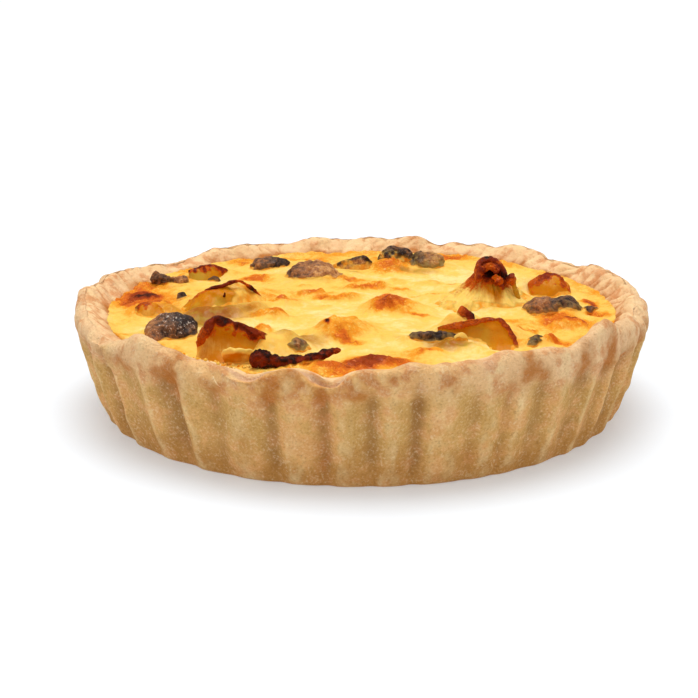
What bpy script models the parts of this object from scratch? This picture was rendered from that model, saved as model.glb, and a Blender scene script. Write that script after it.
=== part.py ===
"""A mushroom and cheese tart baked in a fluted tin: pastry case, set cheese filling and its toppings.

Metres, +Z up. The origin is the middle of the flat underside. A bearing is an angle round the tart in
degrees, from the front (-Y) towards +X. Places and sizes of the toppings are in millimetres.
"""

import bmesh
import bpy
import numpy as np
from mathutils import Vector, noise

MM = 0.001

# Driving dimensions of the pastry case
BASE_RADIUS = 57.8 * MM
BASE_EDGE = 1.2 * MM
RIM_RADIUS = 63.9 * MM
RIM_HEIGHT = 24.2 * MM
WALL_SWELL = 0.8 * MM
WALL_HEIGHTS = (18.0 * MM, 12.0 * MM, 6.0 * MM)
FLOOR_THICKNESS = 4.5 * MM
HOLLOW_FLOOR_RADIUS = 51.5 * MM

# Radius midway through the wall, at the base and at the rim's height
WALL_MIDDLE_LOW = 54.5 * MM
WALL_MIDDLE_HIGH = 59.7 * MM

# Flutes of the outer wall: their number, their depth, and the heights between which they start and fade
FLUTES = 45
FLUTE_DEPTH = 1.9 * MM
STEPS_PER_FLUTE = 5
FLUTES_START = (0.0, 7.0 * MM)
FLUTES_FADE = (17.0 * MM, 22.5 * MM)

# How the hand-pressed ribs stray from an even pitch, in degrees: bearings between which they fall behind at
# the left front and catch up round the back, and between which they are wide and narrow by turns on the right
RIB_LAG = 10.0
LAG_FROM = (2.0, -62.0)
LAG_BACK = (-178.0, -75.0)
RIB_SWAY = 1.4
SWAY_LEAD = 0.9
SWAY_TURNS = 15
SWAY_CENTRE = 20.0
SWAY_FROM = (5.0, 15.0)
SWAY_BACK = (100.0, 60.0)

# Driving dimensions of the filling
FILLING_RADIUS = 55.9 * MM
FILLING_LEVEL = 20.7 * MM
FILLING_DOME = 0.7 * MM
FILLING_SHOULDER = 0.4 * MM
FILLING_EDGE = 0.9 * MM
FILLING_RINGS = 15
FILLING_STEPS = 90

# Rounded top of the rim from the filling's edge outwards: shares of its width and of its height there
RIM_SECTION = ((0.24, 0.49), (0.47, 0.91), (0.69, 1.0), (0.89, 0.71), (1.0, 0.14))

# Clearance between pieces that touch, and how much wider it is measured square to the leaning wall
GAP = 0.35 * MM
LEAN_ALLOWANCE = 1.04

# Lumps and dips of the hand-pressed rim: bearing and half-width in degrees, rise in millimetres
RIM_LUMPS = (
    (-57.0, 5.0, -2.6),
    (-43.0, 7.0, 1.9),
    (-18.0, 7.0, -0.6),
    (10.0, 7.0, 1.6),
    (26.0, 6.0, 1.8),
    (39.0, 6.0, 1.4),
    (51.0, 6.0, 3.2),
    (62.0, 5.0, 1.2),
    (129.5, 4.0, -1.7),
    (138.0, 4.0, 1.4),
    (160.0, 3.5, -2.2),
    (167.0, 4.0, 1.3),
    (202.0, 5.0, -1.0),
    (230.0, 9.0, -1.7),
)

# Swellings of the baked cheese: x, y, rise, half-width across, half-width deep, turn in degrees
CHEESE_MOUNDS = (
    (-3.8, -25.2, 4.2, 4.6, 3.8, 0.0),
    (7.2, -6.6, 3.3, 4.6, 3.8, 0.0),
    (4.0, -45.5, 1.5, 4.6, 2.6, 0.0),
    (12.5, -38.0, 1.4, 3.4, 2.8, 0.0),
    (45.0, -18.5, 1.9, 2.8, 2.6, 0.0),
    (39.0, -31.0, 1.3, 3.0, 1.4, 40.0),
    (-19.6, -12.4, 2.2, 3.4, 2.8, 0.0),
    (-17.0, 0.5, 1.4, 3.0, 2.6, 0.0),
    (-10.7, 9.0, 1.2, 2.4, 2.2, 0.0),
    (-4.5, 4.5, 1.2, 3.2, 2.2, 0.0),
    (1.6, 15.0, 1.1, 3.8, 2.4, 0.0),
    (-25.0, 26.5, 0.9, 3.4, 2.0, 0.0),
    (-49.0, 8.0, 0.9, 2.6, 3.4, 0.0),
    (-6.5, -48.5, 1.2, 4.6, 2.4, 8.0),
    (6.5, 35.0, 1.6, 4.2, 3.2, 0.0),
    (-13.0, -34.0, 1.6, 6.5, 3.0, 25.0),
    (20.5, -33.6, 1.2, 3.6, 2.0, 0.0),
    (31.5, -22.0, 1.1, 2.6, 2.2, 0.0),
    (28.0, 1.5, 1.4, 11.0, 8.0, 0.0),
)

# Sheet thickness of an onion layer and of a mushroom slice, and the height of their feet in the cheese
ONION_THICKNESS = 1.3
SLICE_THICKNESS = 1.5
SUNK_FOOT = 19.0

# Lumps that a cooked piece has across its unit ball, and the segments and rings of a large and a small one
LUMP_PITCH = 1.9
LARGE_CHUNK = (14, 10)
SMALL_CHUNK = (8, 6)
SMALL_CHUNK_REACH = 4.0

# The tall heap of onion folds: middle, half-lengths at the foot, neck share, heights of foot, neck and top
HEAP_MIDDLE = (28.4, 1.4)
HEAP_HALF = (10.2, 7.8)
HEAP_NECK = 0.38
HEAP_HEIGHTS = (19.4, 27.4, 29.0)
HEAP_FOLDS = 7
HEAP_FOLD_DEPTH = 0.09
HEAP_DETAIL = (21, 10)


def smoothstep(low, high, value):
    """0 below low, 1 above high, with a smooth rise between."""
    share = np.clip((value - low) / (high - low), 0.0, 1.0)
    return share * share * (3.0 - 2.0 * share)


def bell(distance, half_width):
    """A smooth bump of height 1, which is down to a half at half_width."""
    return 2.0 ** -((distance / half_width) ** 2)


def bearing_of(x, y):
    return np.degrees(np.arctan2(x, -y))


def waves(bearing, terms):
    """The sum of sines round the tart. A term is the number of waves, the height and the lead in degrees."""
    return sum(height * np.sin(np.radians(count * bearing + lead)) for count, height, lead in terms)


def hollow_radius(z):
    """Radius of the case's inner wall, which leans outwards from the floor up to the filling's edge."""
    share = (z - FLOOR_THICKNESS) / (FILLING_LEVEL - FLOOR_THICKNESS)
    return HOLLOW_FLOOR_RADIUS + (FILLING_RADIUS - HOLLOW_FLOOR_RADIUS) * share


def filling_surface(x, y):
    """Height of the filling: a shallow dome with the mounds added."""
    height = FILLING_LEVEL + FILLING_DOME * (1.0 - (x * x + y * y) / FILLING_RADIUS**2)
    for mound_x, mound_y, rise, across, deep, turn in CHEESE_MOUNDS:
        cosine, sine = np.cos(np.radians(turn)), np.sin(np.radians(turn))
        along = cosine * (x - mound_x * MM) + sine * (y - mound_y * MM)
        beside = cosine * (y - mound_y * MM) - sine * (x - mound_x * MM)
        height = height + rise * MM * bell(np.hypot(along / across, beside / deep), MM)
    return height


def rib_wander(bearing):
    """Degrees by which the ribs stray from an even pitch: wider ribs at the left front, and uneven on the right."""
    lag = smoothstep(*LAG_FROM, bearing) * smoothstep(*LAG_BACK, bearing)
    uneven = smoothstep(*SWAY_FROM, bearing) * smoothstep(*SWAY_BACK, bearing)
    sway = SWAY_LEAD + RIB_SWAY * np.cos(np.radians(SWAY_TURNS * (bearing - SWAY_CENTRE)))
    return sway * uneven - RIB_LAG * lag


def flute_relief(bearing):
    """0 on a rib's crest and -1 in a groove. The pitch wanders by some degrees and the depth by a fifth."""
    crest = 0.5 - 0.5 * np.cos(np.radians(FLUTES * (bearing - rib_wander(bearing) - 2.0)))
    strength = 0.85 + waves(bearing, ((5, 0.12, 40.0), (11, 0.10, 200.0)))
    return -strength * (1.0 - crest**1.3)


def shape_case(points):
    """Presses the flutes into the outer wall, and gives the rim its uneven height and its wavering line."""
    x, y, z = points.T
    radius = np.maximum(np.hypot(x, y), MM)
    bearing = bearing_of(x, y)
    outside = radius > WALL_MIDDLE_LOW + (WALL_MIDDLE_HIGH - WALL_MIDDLE_LOW) * z / RIM_HEIGHT
    start = 0.35 + 0.65 * smoothstep(*FLUTES_START, z)
    fade = 1.0 - 0.8 * smoothstep(*FLUTES_FADE, z)
    grooves = FLUTE_DEPTH * flute_relief(bearing) * start * fade * outside
    high = smoothstep(FILLING_LEVEL + GAP, RIM_HEIGHT, z)
    sway = waves(bearing, ((3, 0.35, 10.0), (7, 0.3, 120.0), (16, 0.25, 70.0))) * high
    rise = waves(bearing, ((4, 0.25, 60.0), (13, 0.2, 150.0), (23, 0.15, 20.0)))
    for centre, half_width, height in RIM_LUMPS:
        apart = (bearing - centre + 180.0) % 360.0 - 180.0
        rise = rise + height * bell(apart, half_width)
    stretch = (radius + grooves + sway * MM) / radius
    return np.stack([x * stretch, y * stretch, z + rise * high * MM], axis=1)


def shape_filling(points):
    """Lifts the top of the turned disc to the height of the baked cheese, and leaves its side alone."""
    x, y, z = points.T
    top = np.hypot(x, y) < FILLING_RADIUS - FILLING_EDGE + GAP
    top &= z > FILLING_LEVEL - GAP
    return np.stack([x, y, np.where(top, filling_surface(x, y), z)], axis=1)


def collection(name):
    made = bpy.data.collections.new(name)
    bpy.context.scene.collection.children.link(made)
    return made


def finish(name, colour, roughness):
    """A plain material of one colour."""
    material = bpy.data.materials.new(name)
    material.use_nodes = True
    shader = material.node_tree.nodes["Principled BSDF"]
    shader.inputs["Base Color"].default_value = (*colour, 1.0)
    shader.inputs["Roughness"].default_value = roughness
    shader.inputs["Metallic"].default_value = 0.0
    return material


def add_object(name, data, place, material, location=(0.0, 0.0, 0.0)):
    made = bpy.data.objects.new(name, data)
    place.objects.link(made)
    data.materials.append(material)
    made.location = location
    return made


def evaluated_mesh(made, name):
    """The object's shape with its modifiers applied, as a new mesh."""
    bpy.context.view_layer.update()
    graph = bpy.context.evaluated_depsgraph_get()
    mesh = bpy.data.meshes.new_from_object(made.evaluated_get(graph))
    mesh.name = name
    return mesh


def move_vertices(mesh, shape):
    """Puts every vertex of the mesh where the function shape says."""
    points = np.empty(len(mesh.vertices) * 3)
    mesh.vertices.foreach_get("co", points)
    mesh.vertices.foreach_set("co", shape(points.reshape(-1, 3)).ravel())
    mesh.update()


def turned(name, profile, steps, shape, place, material):
    """A profile of radius and height spun once round the axis, with its vertices then moved by shape."""
    outline = bpy.data.meshes.new(name)
    points = [(radius, 0.0, height) for radius, height in profile]
    outline.from_pydata(points, [(i, i + 1) for i in range(len(points) - 1)], [])
    made = add_object(name, outline, place, material)
    screw = made.modifiers.new("spin", "SCREW")
    screw.steps = screw.render_steps = steps
    screw.use_merge_vertices = True
    screw.merge_threshold = 0.01 * MM
    spun = evaluated_mesh(made, name)
    made.modifiers.clear()
    made.data = spun
    bpy.data.meshes.remove(outline)
    move_vertices(spun, shape)
    spun.shade_smooth()
    return made


def seat(made, cutter):
    """Cuts away what would sink below the cutter's surface, so that the piece sits on the filling."""
    cut = made.modifiers.new("seat", "BOOLEAN")
    cut.operation = "DIFFERENCE"
    cut.solver = "EXACT"
    cut.object = cutter


def through(points, share):
    """Places on a smooth curve through the points, at shares from 0 to 1, by Catmull-Rom's rule."""
    points = np.asarray(points, float)
    padded = np.vstack([2 * points[0] - points[1], points, 2 * points[-1] - points[-2]])
    place = np.clip(share, 0.0, 1.0) * (len(points) - 1)
    first = np.minimum(place.astype(int), len(points) - 2)
    t = (place - first)[:, None]
    a, b, c, d = (padded[first + i] for i in range(4))
    bend = (2 * a - 5 * b + 4 * c - d) * t**2 + (3 * b - a - 3 * c + d) * t**3
    return 0.5 * (2 * b + (c - a) * t + bend)


def sunk(places):
    """A line of places x, y at the depth where a layer's foot lies in the cheese."""
    return [(x, y, SUNK_FOOT) for x, y in places]


def layer(name, grid, thickness, bulge, foot, lip, place, material, cutter):
    """A cooked layer: a sheet lofted from a foot line to a lip line, bulging between, with a thickness."""
    centre = np.mean(foot, axis=0) * MM
    sheet = bmesh.new()
    bmesh.ops.create_grid(sheet, x_segments=grid[0], y_segments=grid[1], size=0.5)
    mesh = bpy.data.meshes.new(name)
    sheet.to_mesh(mesh)
    sheet.free()

    def bend(points):
        u, v = points[:, 0] + 0.5, points[:, 1] + 0.5
        low, high = through(foot, u), through(lip, u)
        cup = (np.sin(np.pi * v) * (0.4 + 0.6 * np.sin(np.pi * u)))[:, None]
        return (low + (high - low) * v[:, None] + cup * np.asarray(bulge)) * MM - centre

    move_vertices(mesh, bend)
    mesh.shade_smooth()
    made = add_object(name, mesh, place, material, centre)
    shell = made.modifiers.new("thickness", "SOLIDIFY")
    shell.thickness = thickness * MM
    shell.offset = 0.0
    seat(made, cutter)
    return made


def chunk(name, middle, half, squareness, lumps, seed, turn, place, material, cutter):
    """A cooked piece half sunk in the cheese: a ball made boxy by squareness and uneven by noise."""
    segments, rings = SMALL_CHUNK if max(half) < SMALL_CHUNK_REACH else LARGE_CHUNK
    ball = bmesh.new()
    bmesh.ops.create_uvsphere(ball, u_segments=segments, v_segments=rings, radius=1.0)
    for vertex in ball.verts:
        way = vertex.co.normalized()
        boxy = sum(abs(c) ** squareness for c in way) ** (-1.0 / squareness)
        swell = 1.0 + lumps * noise.noise(way * LUMP_PITCH + Vector((seed, -seed, 0.5 * seed)))
        vertex.co = [way[i] * boxy * swell * half[i] * MM for i in range(3)]
    mesh = bpy.data.meshes.new(name)
    ball.to_mesh(mesh)
    ball.free()
    mesh.shade_smooth()
    made = add_object(name, mesh, place, material, (middle[0] * MM, middle[1] * MM, FILLING_LEVEL))
    made.rotation_euler.z = np.radians(turn)
    seat(made, cutter)
    return made


def folded_heap(name, place, material, cutter):
    """Onion layers pinched into a tent: a ball remade as a cone with a blunt top and folds down its sides."""
    foot, neck, top = (z * MM for z in HEAP_HEIGHTS)
    ball = bmesh.new()
    bmesh.ops.create_uvsphere(ball, u_segments=HEAP_DETAIL[0], v_segments=HEAP_DETAIL[1], radius=1.0)
    mesh = bpy.data.meshes.new(name)
    ball.to_mesh(mesh)
    ball.free()

    def pinch(points):
        around = np.arctan2(points[:, 1], points[:, 0])
        down = np.arccos(np.clip(points[:, 2], -1.0, 1.0)) / np.pi
        pole, blunt, flank = 0.05, 0.3, 0.85
        share = np.interp(down, (0.0, blunt, flank, 1.0), (0.0, HEAP_NECK, 1.0, 0.0))
        height = np.interp(down, (0.0, blunt, flank, 1.0), (top, neck, foot, foot))
        folds = 1.0 + HEAP_FOLD_DEPTH * np.cos(HEAP_FOLDS * around + 0.6) * (down > pole)
        x = share * folds * HEAP_HALF[0] * np.cos(around)
        y = share * folds * HEAP_HALF[1] * np.sin(around)
        return np.column_stack([x * MM, y * MM, height])

    move_vertices(mesh, pinch)
    mesh.shade_smooth()
    made = add_object(name, mesh, place, material, (HEAP_MIDDLE[0] * MM, HEAP_MIDDLE[1] * MM, 0.0))
    seat(made, cutter)
    return made


def raised_copy(made, name, helpers):
    """A hidden copy of a piece's own mesh, a gap higher, which trims what rests on the piece."""
    raised = bpy.data.objects.new(name, made.data)
    helpers.objects.link(raised)
    raised.location = made.location
    raised.location.z += GAP
    raised.hide_render = True
    raised.display_type = "WIRE"
    return raised


def strip(name, points, radii, place, material, cutter):
    """A curl or tail: a tube through the points, of changing radius, made a mesh so that it can be cut."""
    centre = np.mean(points, axis=0) * MM
    count = 3 * (len(points) - 1) + 1
    share = np.linspace(0.0, 1.0, count)
    path = through(points, share) * MM - centre
    thick = through(np.asarray(radii, float)[:, None], share)[:, 0]
    curve = bpy.data.curves.new(name, "CURVE")
    curve.dimensions = "3D"
    curve.bevel_depth = MM
    curve.bevel_resolution = 1
    curve.use_fill_caps = True
    spline = curve.splines.new("POLY")
    spline.points.add(count - 1)
    spline.points.foreach_set("co", np.column_stack([path, np.ones(count)]).ravel())
    spline.points.foreach_set("radius", thick)
    tube = add_object(name + "_path", curve, place, material, centre)
    mesh = evaluated_mesh(tube, name)
    bpy.data.objects.remove(tube)
    shell = bmesh.new()
    shell.from_mesh(mesh)
    bmesh.ops.remove_doubles(shell, verts=shell.verts, dist=0.01 * MM)
    shell.to_mesh(mesh)
    shell.free()
    mesh.shade_smooth()
    made = bpy.data.objects.new(name, mesh)
    place.objects.link(made)
    made.location = centre
    seat(made, cutter)
    return made


def build_case(place):
    """Shortcrust case: its floor, leaning inner wall, rounded rim and outer wall, in that order."""
    crust = finish("baked_shortcrust", (0.62, 0.42, 0.23), 0.75)
    rim_width = RIM_RADIUS - FILLING_RADIUS
    rim_rise = RIM_HEIGHT - FILLING_LEVEL
    lean = (RIM_RADIUS - BASE_RADIUS) / RIM_HEIGHT
    profile = [(0.0, FLOOR_THICKNESS), (HOLLOW_FLOOR_RADIUS, FLOOR_THICKNESS)]
    profile += [(FILLING_RADIUS, FILLING_LEVEL)]
    profile += [(FILLING_RADIUS + rim_width * out, FILLING_LEVEL + rim_rise * up) for out, up in RIM_SECTION]
    profile += [(BASE_RADIUS + lean * z + WALL_SWELL, z) for z in WALL_HEIGHTS]
    profile += [(BASE_RADIUS, BASE_EDGE), (BASE_RADIUS - BASE_EDGE, 0.0), (0.0, 0.0)]
    return turned("pastry_case", profile, FLUTES * STEPS_PER_FLUTE, shape_case, place, crust)


def build_filling(place, helpers):
    """Set cheese filling that fills the case, and the raised copy of it that seats the toppings."""
    cheese = finish("set_cheese", (0.86, 0.62, 0.16), 0.4)
    side = GAP * LEAN_ALLOWANCE
    bottom = FLOOR_THICKNESS + GAP
    shoulder = FILLING_LEVEL - FILLING_SHOULDER
    edge = FILLING_RADIUS - FILLING_EDGE
    profile = [(radius, FILLING_LEVEL) for radius in np.linspace(0.0, edge, FILLING_RINGS)]
    profile += [(hollow_radius(shoulder) - side, shoulder), (hollow_radius(bottom) - side, bottom)]
    profile += [(0.0, bottom)]
    made = turned("cheese_filling", profile, FILLING_STEPS, shape_filling, place, cheese)
    return raised_copy(made, "raised_filling", helpers)


def build_mushrooms(place, seat_on):
    """Chunks and slices of cooked mushroom, each half sunk in the cheese."""
    brown = finish("cooked_mushroom", (0.10, 0.075, 0.055), 0.45)
    chunks = (
        ("mushroom_chunk_left", (-39.3, -26.5), (5.6, 4.6, 5.6), 3.2, 0.16, 1.3, 8.0),
        ("mushroom_cap_back", (-11.6, 25.4), (6.9, 5.8, 4.8), 2.2, 0.14, 2.1, 0.0),
        ("mushroom_cap_back_left", (-22.6, 36.4), (4.5, 3.4, 3.4), 2.3, 0.15, 3.7, 15.0),
        ("mushroom_cap_right", (41.6, -8.0), (6.2, 3.7, 4.3), 2.6, 0.16, 4.4, 12.0),
        ("mushroom_lump_far", (16.4, 36.0), (4.4, 3.2, 4.4), 2.4, 0.2, 5.2, -10.0),
        ("mushroom_slice_front", (14.6, -30.4), (5.4, 1.3, 2.9), 3.0, 0.14, 6.8, 6.0),
        ("mushroom_bit_sunk", (-12.4, -37.2), (2.7, 1.9, 3.6), 2.2, 0.15, 7.9, 10.0),
        ("mushroom_bit_rim", (35.2, -32.4), (2.4, 1.4, 2.8), 2.2, 0.15, 8.3, 30.0),
        ("mushroom_bit_left", (-40.6, 4.4), (1.5, 1.2, 2.2), 2.0, 0.15, 9.1, 0.0),
        ("mushroom_bit_back_left", (-35.2, 22.6), (1.7, 1.3, 1.9), 2.0, 0.15, 10.6, 0.0),
    )
    for name, middle, half, squareness, lumps, seed, turn in chunks:
        chunk(name, middle, half, squareness, lumps, seed, turn, place, brown, seat_on)
    slices = (
        ("mushroom_slice_back", (0.0, -0.8, 0.0),
         [(-6.8, 34.6), (-2.0, 34.0), (3.2, 34.4)],
         [(-6.9, 35.6, 21.6), (-2.4, 35.6, 23.4), (0.6, 35.6, 24.0), (2.9, 35.2, 22.8)]),
        ("mushroom_slice_far", (0.0, -1.0, 0.0),
         [(4.2, 38.8), (8.2, 38.0), (11.6, 38.8)],
         [(5.0, 40.2, 23.8), (8.8, 40.8, 25.3), (11.8, 40.4, 24.4)]),
    )
    for name, bulge, foot, lip in slices:
        layer(name, (10, 5), SLICE_THICKNESS, bulge, sunk(foot), lip, place, brown, seat_on)
    tails = (
        ("mushroom_strip_left", (1.9, 1.5, 1.3, 1.0),
         [(-49.6, 20.8, 22.2), (-47.0, 19.6, 22.3), (-44.2, 19.2, 21.8), (-41.2, 19.4, 21.5)]),
        ("mushroom_tail_right", (1.1, 0.8, 0.5),
         [(49.0, -7.6, 21.6), (51.0, -6.6, 21.7), (53.0, -5.2, 21.2)]),
    )
    for name, radii, points in tails:
        strip(name, points, radii, place, brown, seat_on)


def build_onions(place, helpers, seat_on):
    """Amber onion layers that stand out of the cheese, and the burnt curls on them."""
    amber = finish("amber_onion", (0.62, 0.36, 0.04), 0.35)
    burnt = finish("burnt_edge", (0.09, 0.025, 0.01), 0.5)
    layers = (
        ("onion_petal_front_left", (11, 6), (0.0, 2.6, -0.6),
         [(-33.0, -39.5), (-30.0, -44.0), (-24.0, -45.5), (-18.5, -41.0), (-13.6, -36.6)],
         [(-31.8, -42.4, 25.0), (-29.4, -40.2, 29.0), (-26.4, -39.4, 28.6), (-20.4, -36.8, 25.6),
          (-14.6, -34.6, 21.6)]),
        ("onion_petal_left", (11, 6), (0.0, -1.4, 0.4),
         [(-40.6, -5.0), (-36.0, -9.4), (-30.0, -8.8), (-24.6, -4.8), (-20.4, 2.2)],
         [(-38.4, -2.6, 23.4), (-33.8, -3.6, 25.8), (-30.6, -2.0, 25.9), (-27.4, 1.0, 26.2),
          (-20.2, 3.4, 21.4)]),
        ("onion_scrap_left", (6, 5), (0.0, -0.6, 0.4),
         [(-48.8, -10.0), (-45.2, -10.6), (-41.8, -10.0)],
         [(-49.6, -6.6, 22.0), (-47.2, -6.2, 23.2), (-43.2, -7.0, 22.0)]),
        ("onion_band_back_left", (9, 6), (0.0, -0.8, 0.4),
         [(-40.8, 22.8), (-37.2, 24.2), (-33.2, 28.8)],
         [(-41.8, 25.8, 22.9), (-38.4, 28.0, 23.7), (-35.2, 29.6, 23.0), (-32.4, 31.4, 21.4)]),
        ("onion_petal_front_right", (11, 6), (0.0, 2.0, 0.4),
         [(16.2, -27.4), (20.6, -28.8), (24.4, -33.4), (28.4, -36.8), (31.9, -36.4)],
         [(15.8, -26.6, 23.0), (21.0, -27.6, 24.5), (25.4, -29.2, 25.8), (28.6, -31.6, 26.0),
          (31.6, -35.0, 21.5)]),
        ("onion_tip_front_right", (5, 5), (0.0, -0.3, 0.0),
         [(18.6, -24.0), (21.0, -24.2), (23.8, -23.6)],
         [(19.8, -23.4, 23.8), (21.0, -23.2, 26.7), (23.2, -23.4, 24.8)]),
        ("onion_petal_right", (9, 6), (0.0, -1.6, 0.8),
         [(38.8, 9.0), (43.4, 7.0), (48.4, 9.6)],
         [(39.0, 13.4, 22.8), (42.4, 14.0, 24.8), (45.6, 13.4, 24.8), (48.4, 11.6, 21.6)]),
    )
    for name, grid, bulge, foot, lip in layers:
        layer(name, grid, ONION_THICKNESS, bulge, sunk(foot), lip, place, amber, seat_on)
    heap = folded_heap("onion_folds_tall", place, amber, seat_on)
    heap_top = raised_copy(heap, "raised_heap", helpers)
    layer("onion_hood_tall", (10, 6), ONION_THICKNESS, (0.0, 0.9, 1.1),
          [(24.8, -1.2, 26.0), (26.0, 3.8, 26.6), (29.2, 5.4, 27.0), (32.2, 3.6, 26.6), (33.0, -0.8, 25.8)],
          [(24.9, -2.8, 28.6), (26.6, -1.2, 31.2), (29.4, -0.6, 31.9), (32.0, -0.8, 30.8),
           (32.8, -2.2, 28.2)],
          place, burnt, heap_top)
    curls = (
        ("burnt_strip_front", (2.3, 1.5, 1.2, 1.1, 0.9, 0.7, 0.5), seat_on,
         [(-21.2, -49.0, 23.2), (-18.6, -49.4, 23.0), (-15.4, -49.4, 22.5), (-12.4, -48.8, 22.3),
          (-9.2, -47.8, 22.9), (-6.4, -46.6, 23.5), (-3.8, -45.4, 23.9)]),
        ("burnt_curl_tall", (0.6, 0.6, 0.7, 0.5), heap_top,
         [(36.0, -2.6, 23.4), (35.2, -2.3, 25.8), (35.6, -2.1, 27.8), (34.8, -1.9, 29.2)]),
    )
    for name, radii, rests_on, points in curls:
        strip(name, points, radii, place, burnt, rests_on)


def main():
    for old in list(bpy.data.objects):
        bpy.data.objects.remove(old)
    tart = collection("mushroom_cheese_tart")
    helpers = collection("helpers")
    build_case(tart)
    raised = build_filling(tart, helpers)
    build_mushrooms(tart, raised)
    build_onions(tart, helpers, raised)


main()
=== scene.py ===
"""Looks of a mushroom and cheese tart, worked out in millimetres. skin() turns them into metres."""

import bmesh
import bpy
import numpy as np
from mathutils import Matrix


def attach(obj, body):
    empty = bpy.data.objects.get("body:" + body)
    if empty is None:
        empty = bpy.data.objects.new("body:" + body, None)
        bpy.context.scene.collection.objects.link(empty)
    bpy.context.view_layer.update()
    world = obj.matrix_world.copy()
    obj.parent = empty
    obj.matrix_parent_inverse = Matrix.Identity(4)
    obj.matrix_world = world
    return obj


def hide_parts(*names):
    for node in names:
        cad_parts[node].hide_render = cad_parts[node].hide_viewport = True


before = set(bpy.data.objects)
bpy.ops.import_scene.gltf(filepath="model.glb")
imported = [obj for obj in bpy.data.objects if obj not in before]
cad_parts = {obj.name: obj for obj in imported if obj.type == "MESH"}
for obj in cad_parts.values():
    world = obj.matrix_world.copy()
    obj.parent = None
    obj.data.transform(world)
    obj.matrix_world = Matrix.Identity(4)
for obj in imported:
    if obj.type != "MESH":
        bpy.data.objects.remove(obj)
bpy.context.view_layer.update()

# Pastry case
# Shortcrust pressed by hand into a fluted tin and baked golden tan, so its wall has ribs and its rim is
# uneven. Its section is carried round the tart from the floor, over the rim, down the ribs and under it.
MM = 0.001
MERGED_WITHIN = 0.0005
FLUTES = 45
FLUTE_DEPTH = 1.9
FLUTE_SKEW = 0.45
RIB_LEAD = 1.02
CASE_FLOOR = 4.5
HOLLOW_FLOOR_RADIUS = 51.5
BASE_RADIUS = 56.6
CASE_ROWS = 105
CASE_COLUMNS = 860
RIM_RADIUS = 61.4

# The case's section from its inner slope over the rim to its base: radius, height
CASE_SECTION = [
    (55, 17.4), (55.9, 20.7), (57.8, 22.4), (59.7, 23.9), (61.4, 24.2), (63, 23.2), (63.7, 21.2), (63.1, 18),
    (61.6, 12), (60.1, 6), (57.9, 1.2), (BASE_RADIUS, 0)]

# Heights over which the ribs deepen at the base, and over which they fade towards the rim
RIBS_START = (0, 7)
RIBS_FADE = (17, 23.5)

# Heights over which the wall turns into the rim, and over which the rim wanders up, down and sideways
RIM_FROM = (17, 22)
WANDER_FROM = (21, 24.2)

# The radius past which pushes are eased off, and the room that they have there
WIDEST = 62.5
WIDEST_ROOM = 1.15

# Bearings between which the front's narrow grooves turn into the sides' narrow crests
FRONT_TO_SIDE = (22, 45)

# How the ribs stray from an even pitch, in degrees: bearings between which they fall behind at the left front
# and catch up round the back, and between which they are wide and narrow by turns on the right
RIB_LAG = 10
LAG_FROM = (2, -62)
LAG_BACK = (-178, -75)
RIB_SWAY = 1.4
SWAY_LEAD = 0.9
SWAY_TURNS = 15
SWAY_CENTRE = 20
SWAY_FROM = (5, 15)
SWAY_BACK = (100, 60)

# Faint ribs, and one that is deeper: bearing, half-width in degrees, share lost
FAINT_RIBS = [(-21, 4, 0.42), (20.4, 4, 0.5), (-46.4, 4, 0.3), (29, 5, 0.25), (2, 3, 0.35), (-34.5, 4, -0.3)]

# Waves of the ribs' strength, the rim's radius and height, and the ledge below it: how many, height, lead
STRENGTH_WAVES = [(5, 0.08, 40), (19, 0.08, 60)]
RADIUS_WAVES = [(3, 0.35, 10), (7, 0.3, 120), (16, 0.25, 70)]
HEIGHT_WAVES = [(4, 0.25, 60), (13, 0.3, 150), (23, 0.3, 20), (41, 0.15, 80)]
LEDGE_WAVES = [(9, 0.7, 30), (17, 0.6, 100), (31, 0.4, 0)]

# Lumps and dips of the rim: bearing and half-width in degrees, rise
RIM_LUMPS = [
    (-28, 2.5, -0.4), (-19.4, 2.2, -0.2), (-12, 2.6, 0.5), (-5.2, 2.4, -1.3), (-57, 5, -2.6), (-43, 7, 1.9),
    (-18, 7, -0.6), (10, 7, 1.6), (26, 6, 1.8), (39, 6, 1.4), (51, 6, 3), (62, 5, 1.2), (129.5, 4, -1.7),
    (138, 4, 1.4), (160, 3.5, -2.2), (167, 4, 1.3), (186, 9, -0.6), (172.6, 1.8, -0.6), (144.5, 2.5, -0.8),
    (202, 5, -0.8), (230, 9, -1.7)]

# Knobs pushed out and cracks pressed in: bearing, height, half-width, half-height, push
RIM_KNOBS = [
    (-19.4, 23.4, 2.2, 1.2, -0.8), (-6.4, 23.4, 2.6, 1.2, -0.8), (-12.5, 20.2, 2.4, 1.2, 0.5),
    (-27, 20.4, 1.8, 1.3, 0.6), (12, 20.2, 1.6, 1.4, 0.5), (-61, 21.4, 1.5, 1.2, 0.9),
    (-54, 20.8, 1.7, 1.4, 1.1), (-57.5, 20.6, 0.6, 2.2, -0.9), (-49.5, 20, 0.6, 2, -0.5),
    (56.5, 23.5, 0.5, 3.2, -1), (-72, 21, 0.7, 1.8, -0.6), (21.5, 22.8, 0.8, 1.6, -0.5),
    (47.5, 22, 0.7, 2.2, -0.5), (75, 22, 0.6, 2.4, -0.6)]

# The ledge where the rim was folded over the wall
LEDGE_HEIGHT = 19.6
LEDGE_DEPTH = 0.45

# The lip that runs along the outside of the rim at the front, with a trough behind it. Millimetres from the
# rim's top, bearing and half-width in degrees of the lip and of the golden part of the rim, and where the lip
# droops: bearing, half-width in degrees, droop
LIP_AT = 1.5
LIP_BEARING = (-13, 15)
LIP_RISE = 0.7
TROUGH_DEPTH = 0.7
GOLDEN_BEARING = (-9, 24)
LIP_DROOPS = [(-19.6, 3.2, 2.1), (-6.4, 3.2, 2.5), (-30, 3, 1), (6, 3, 0.9), (-13, 2.4, -0.3)]

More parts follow.
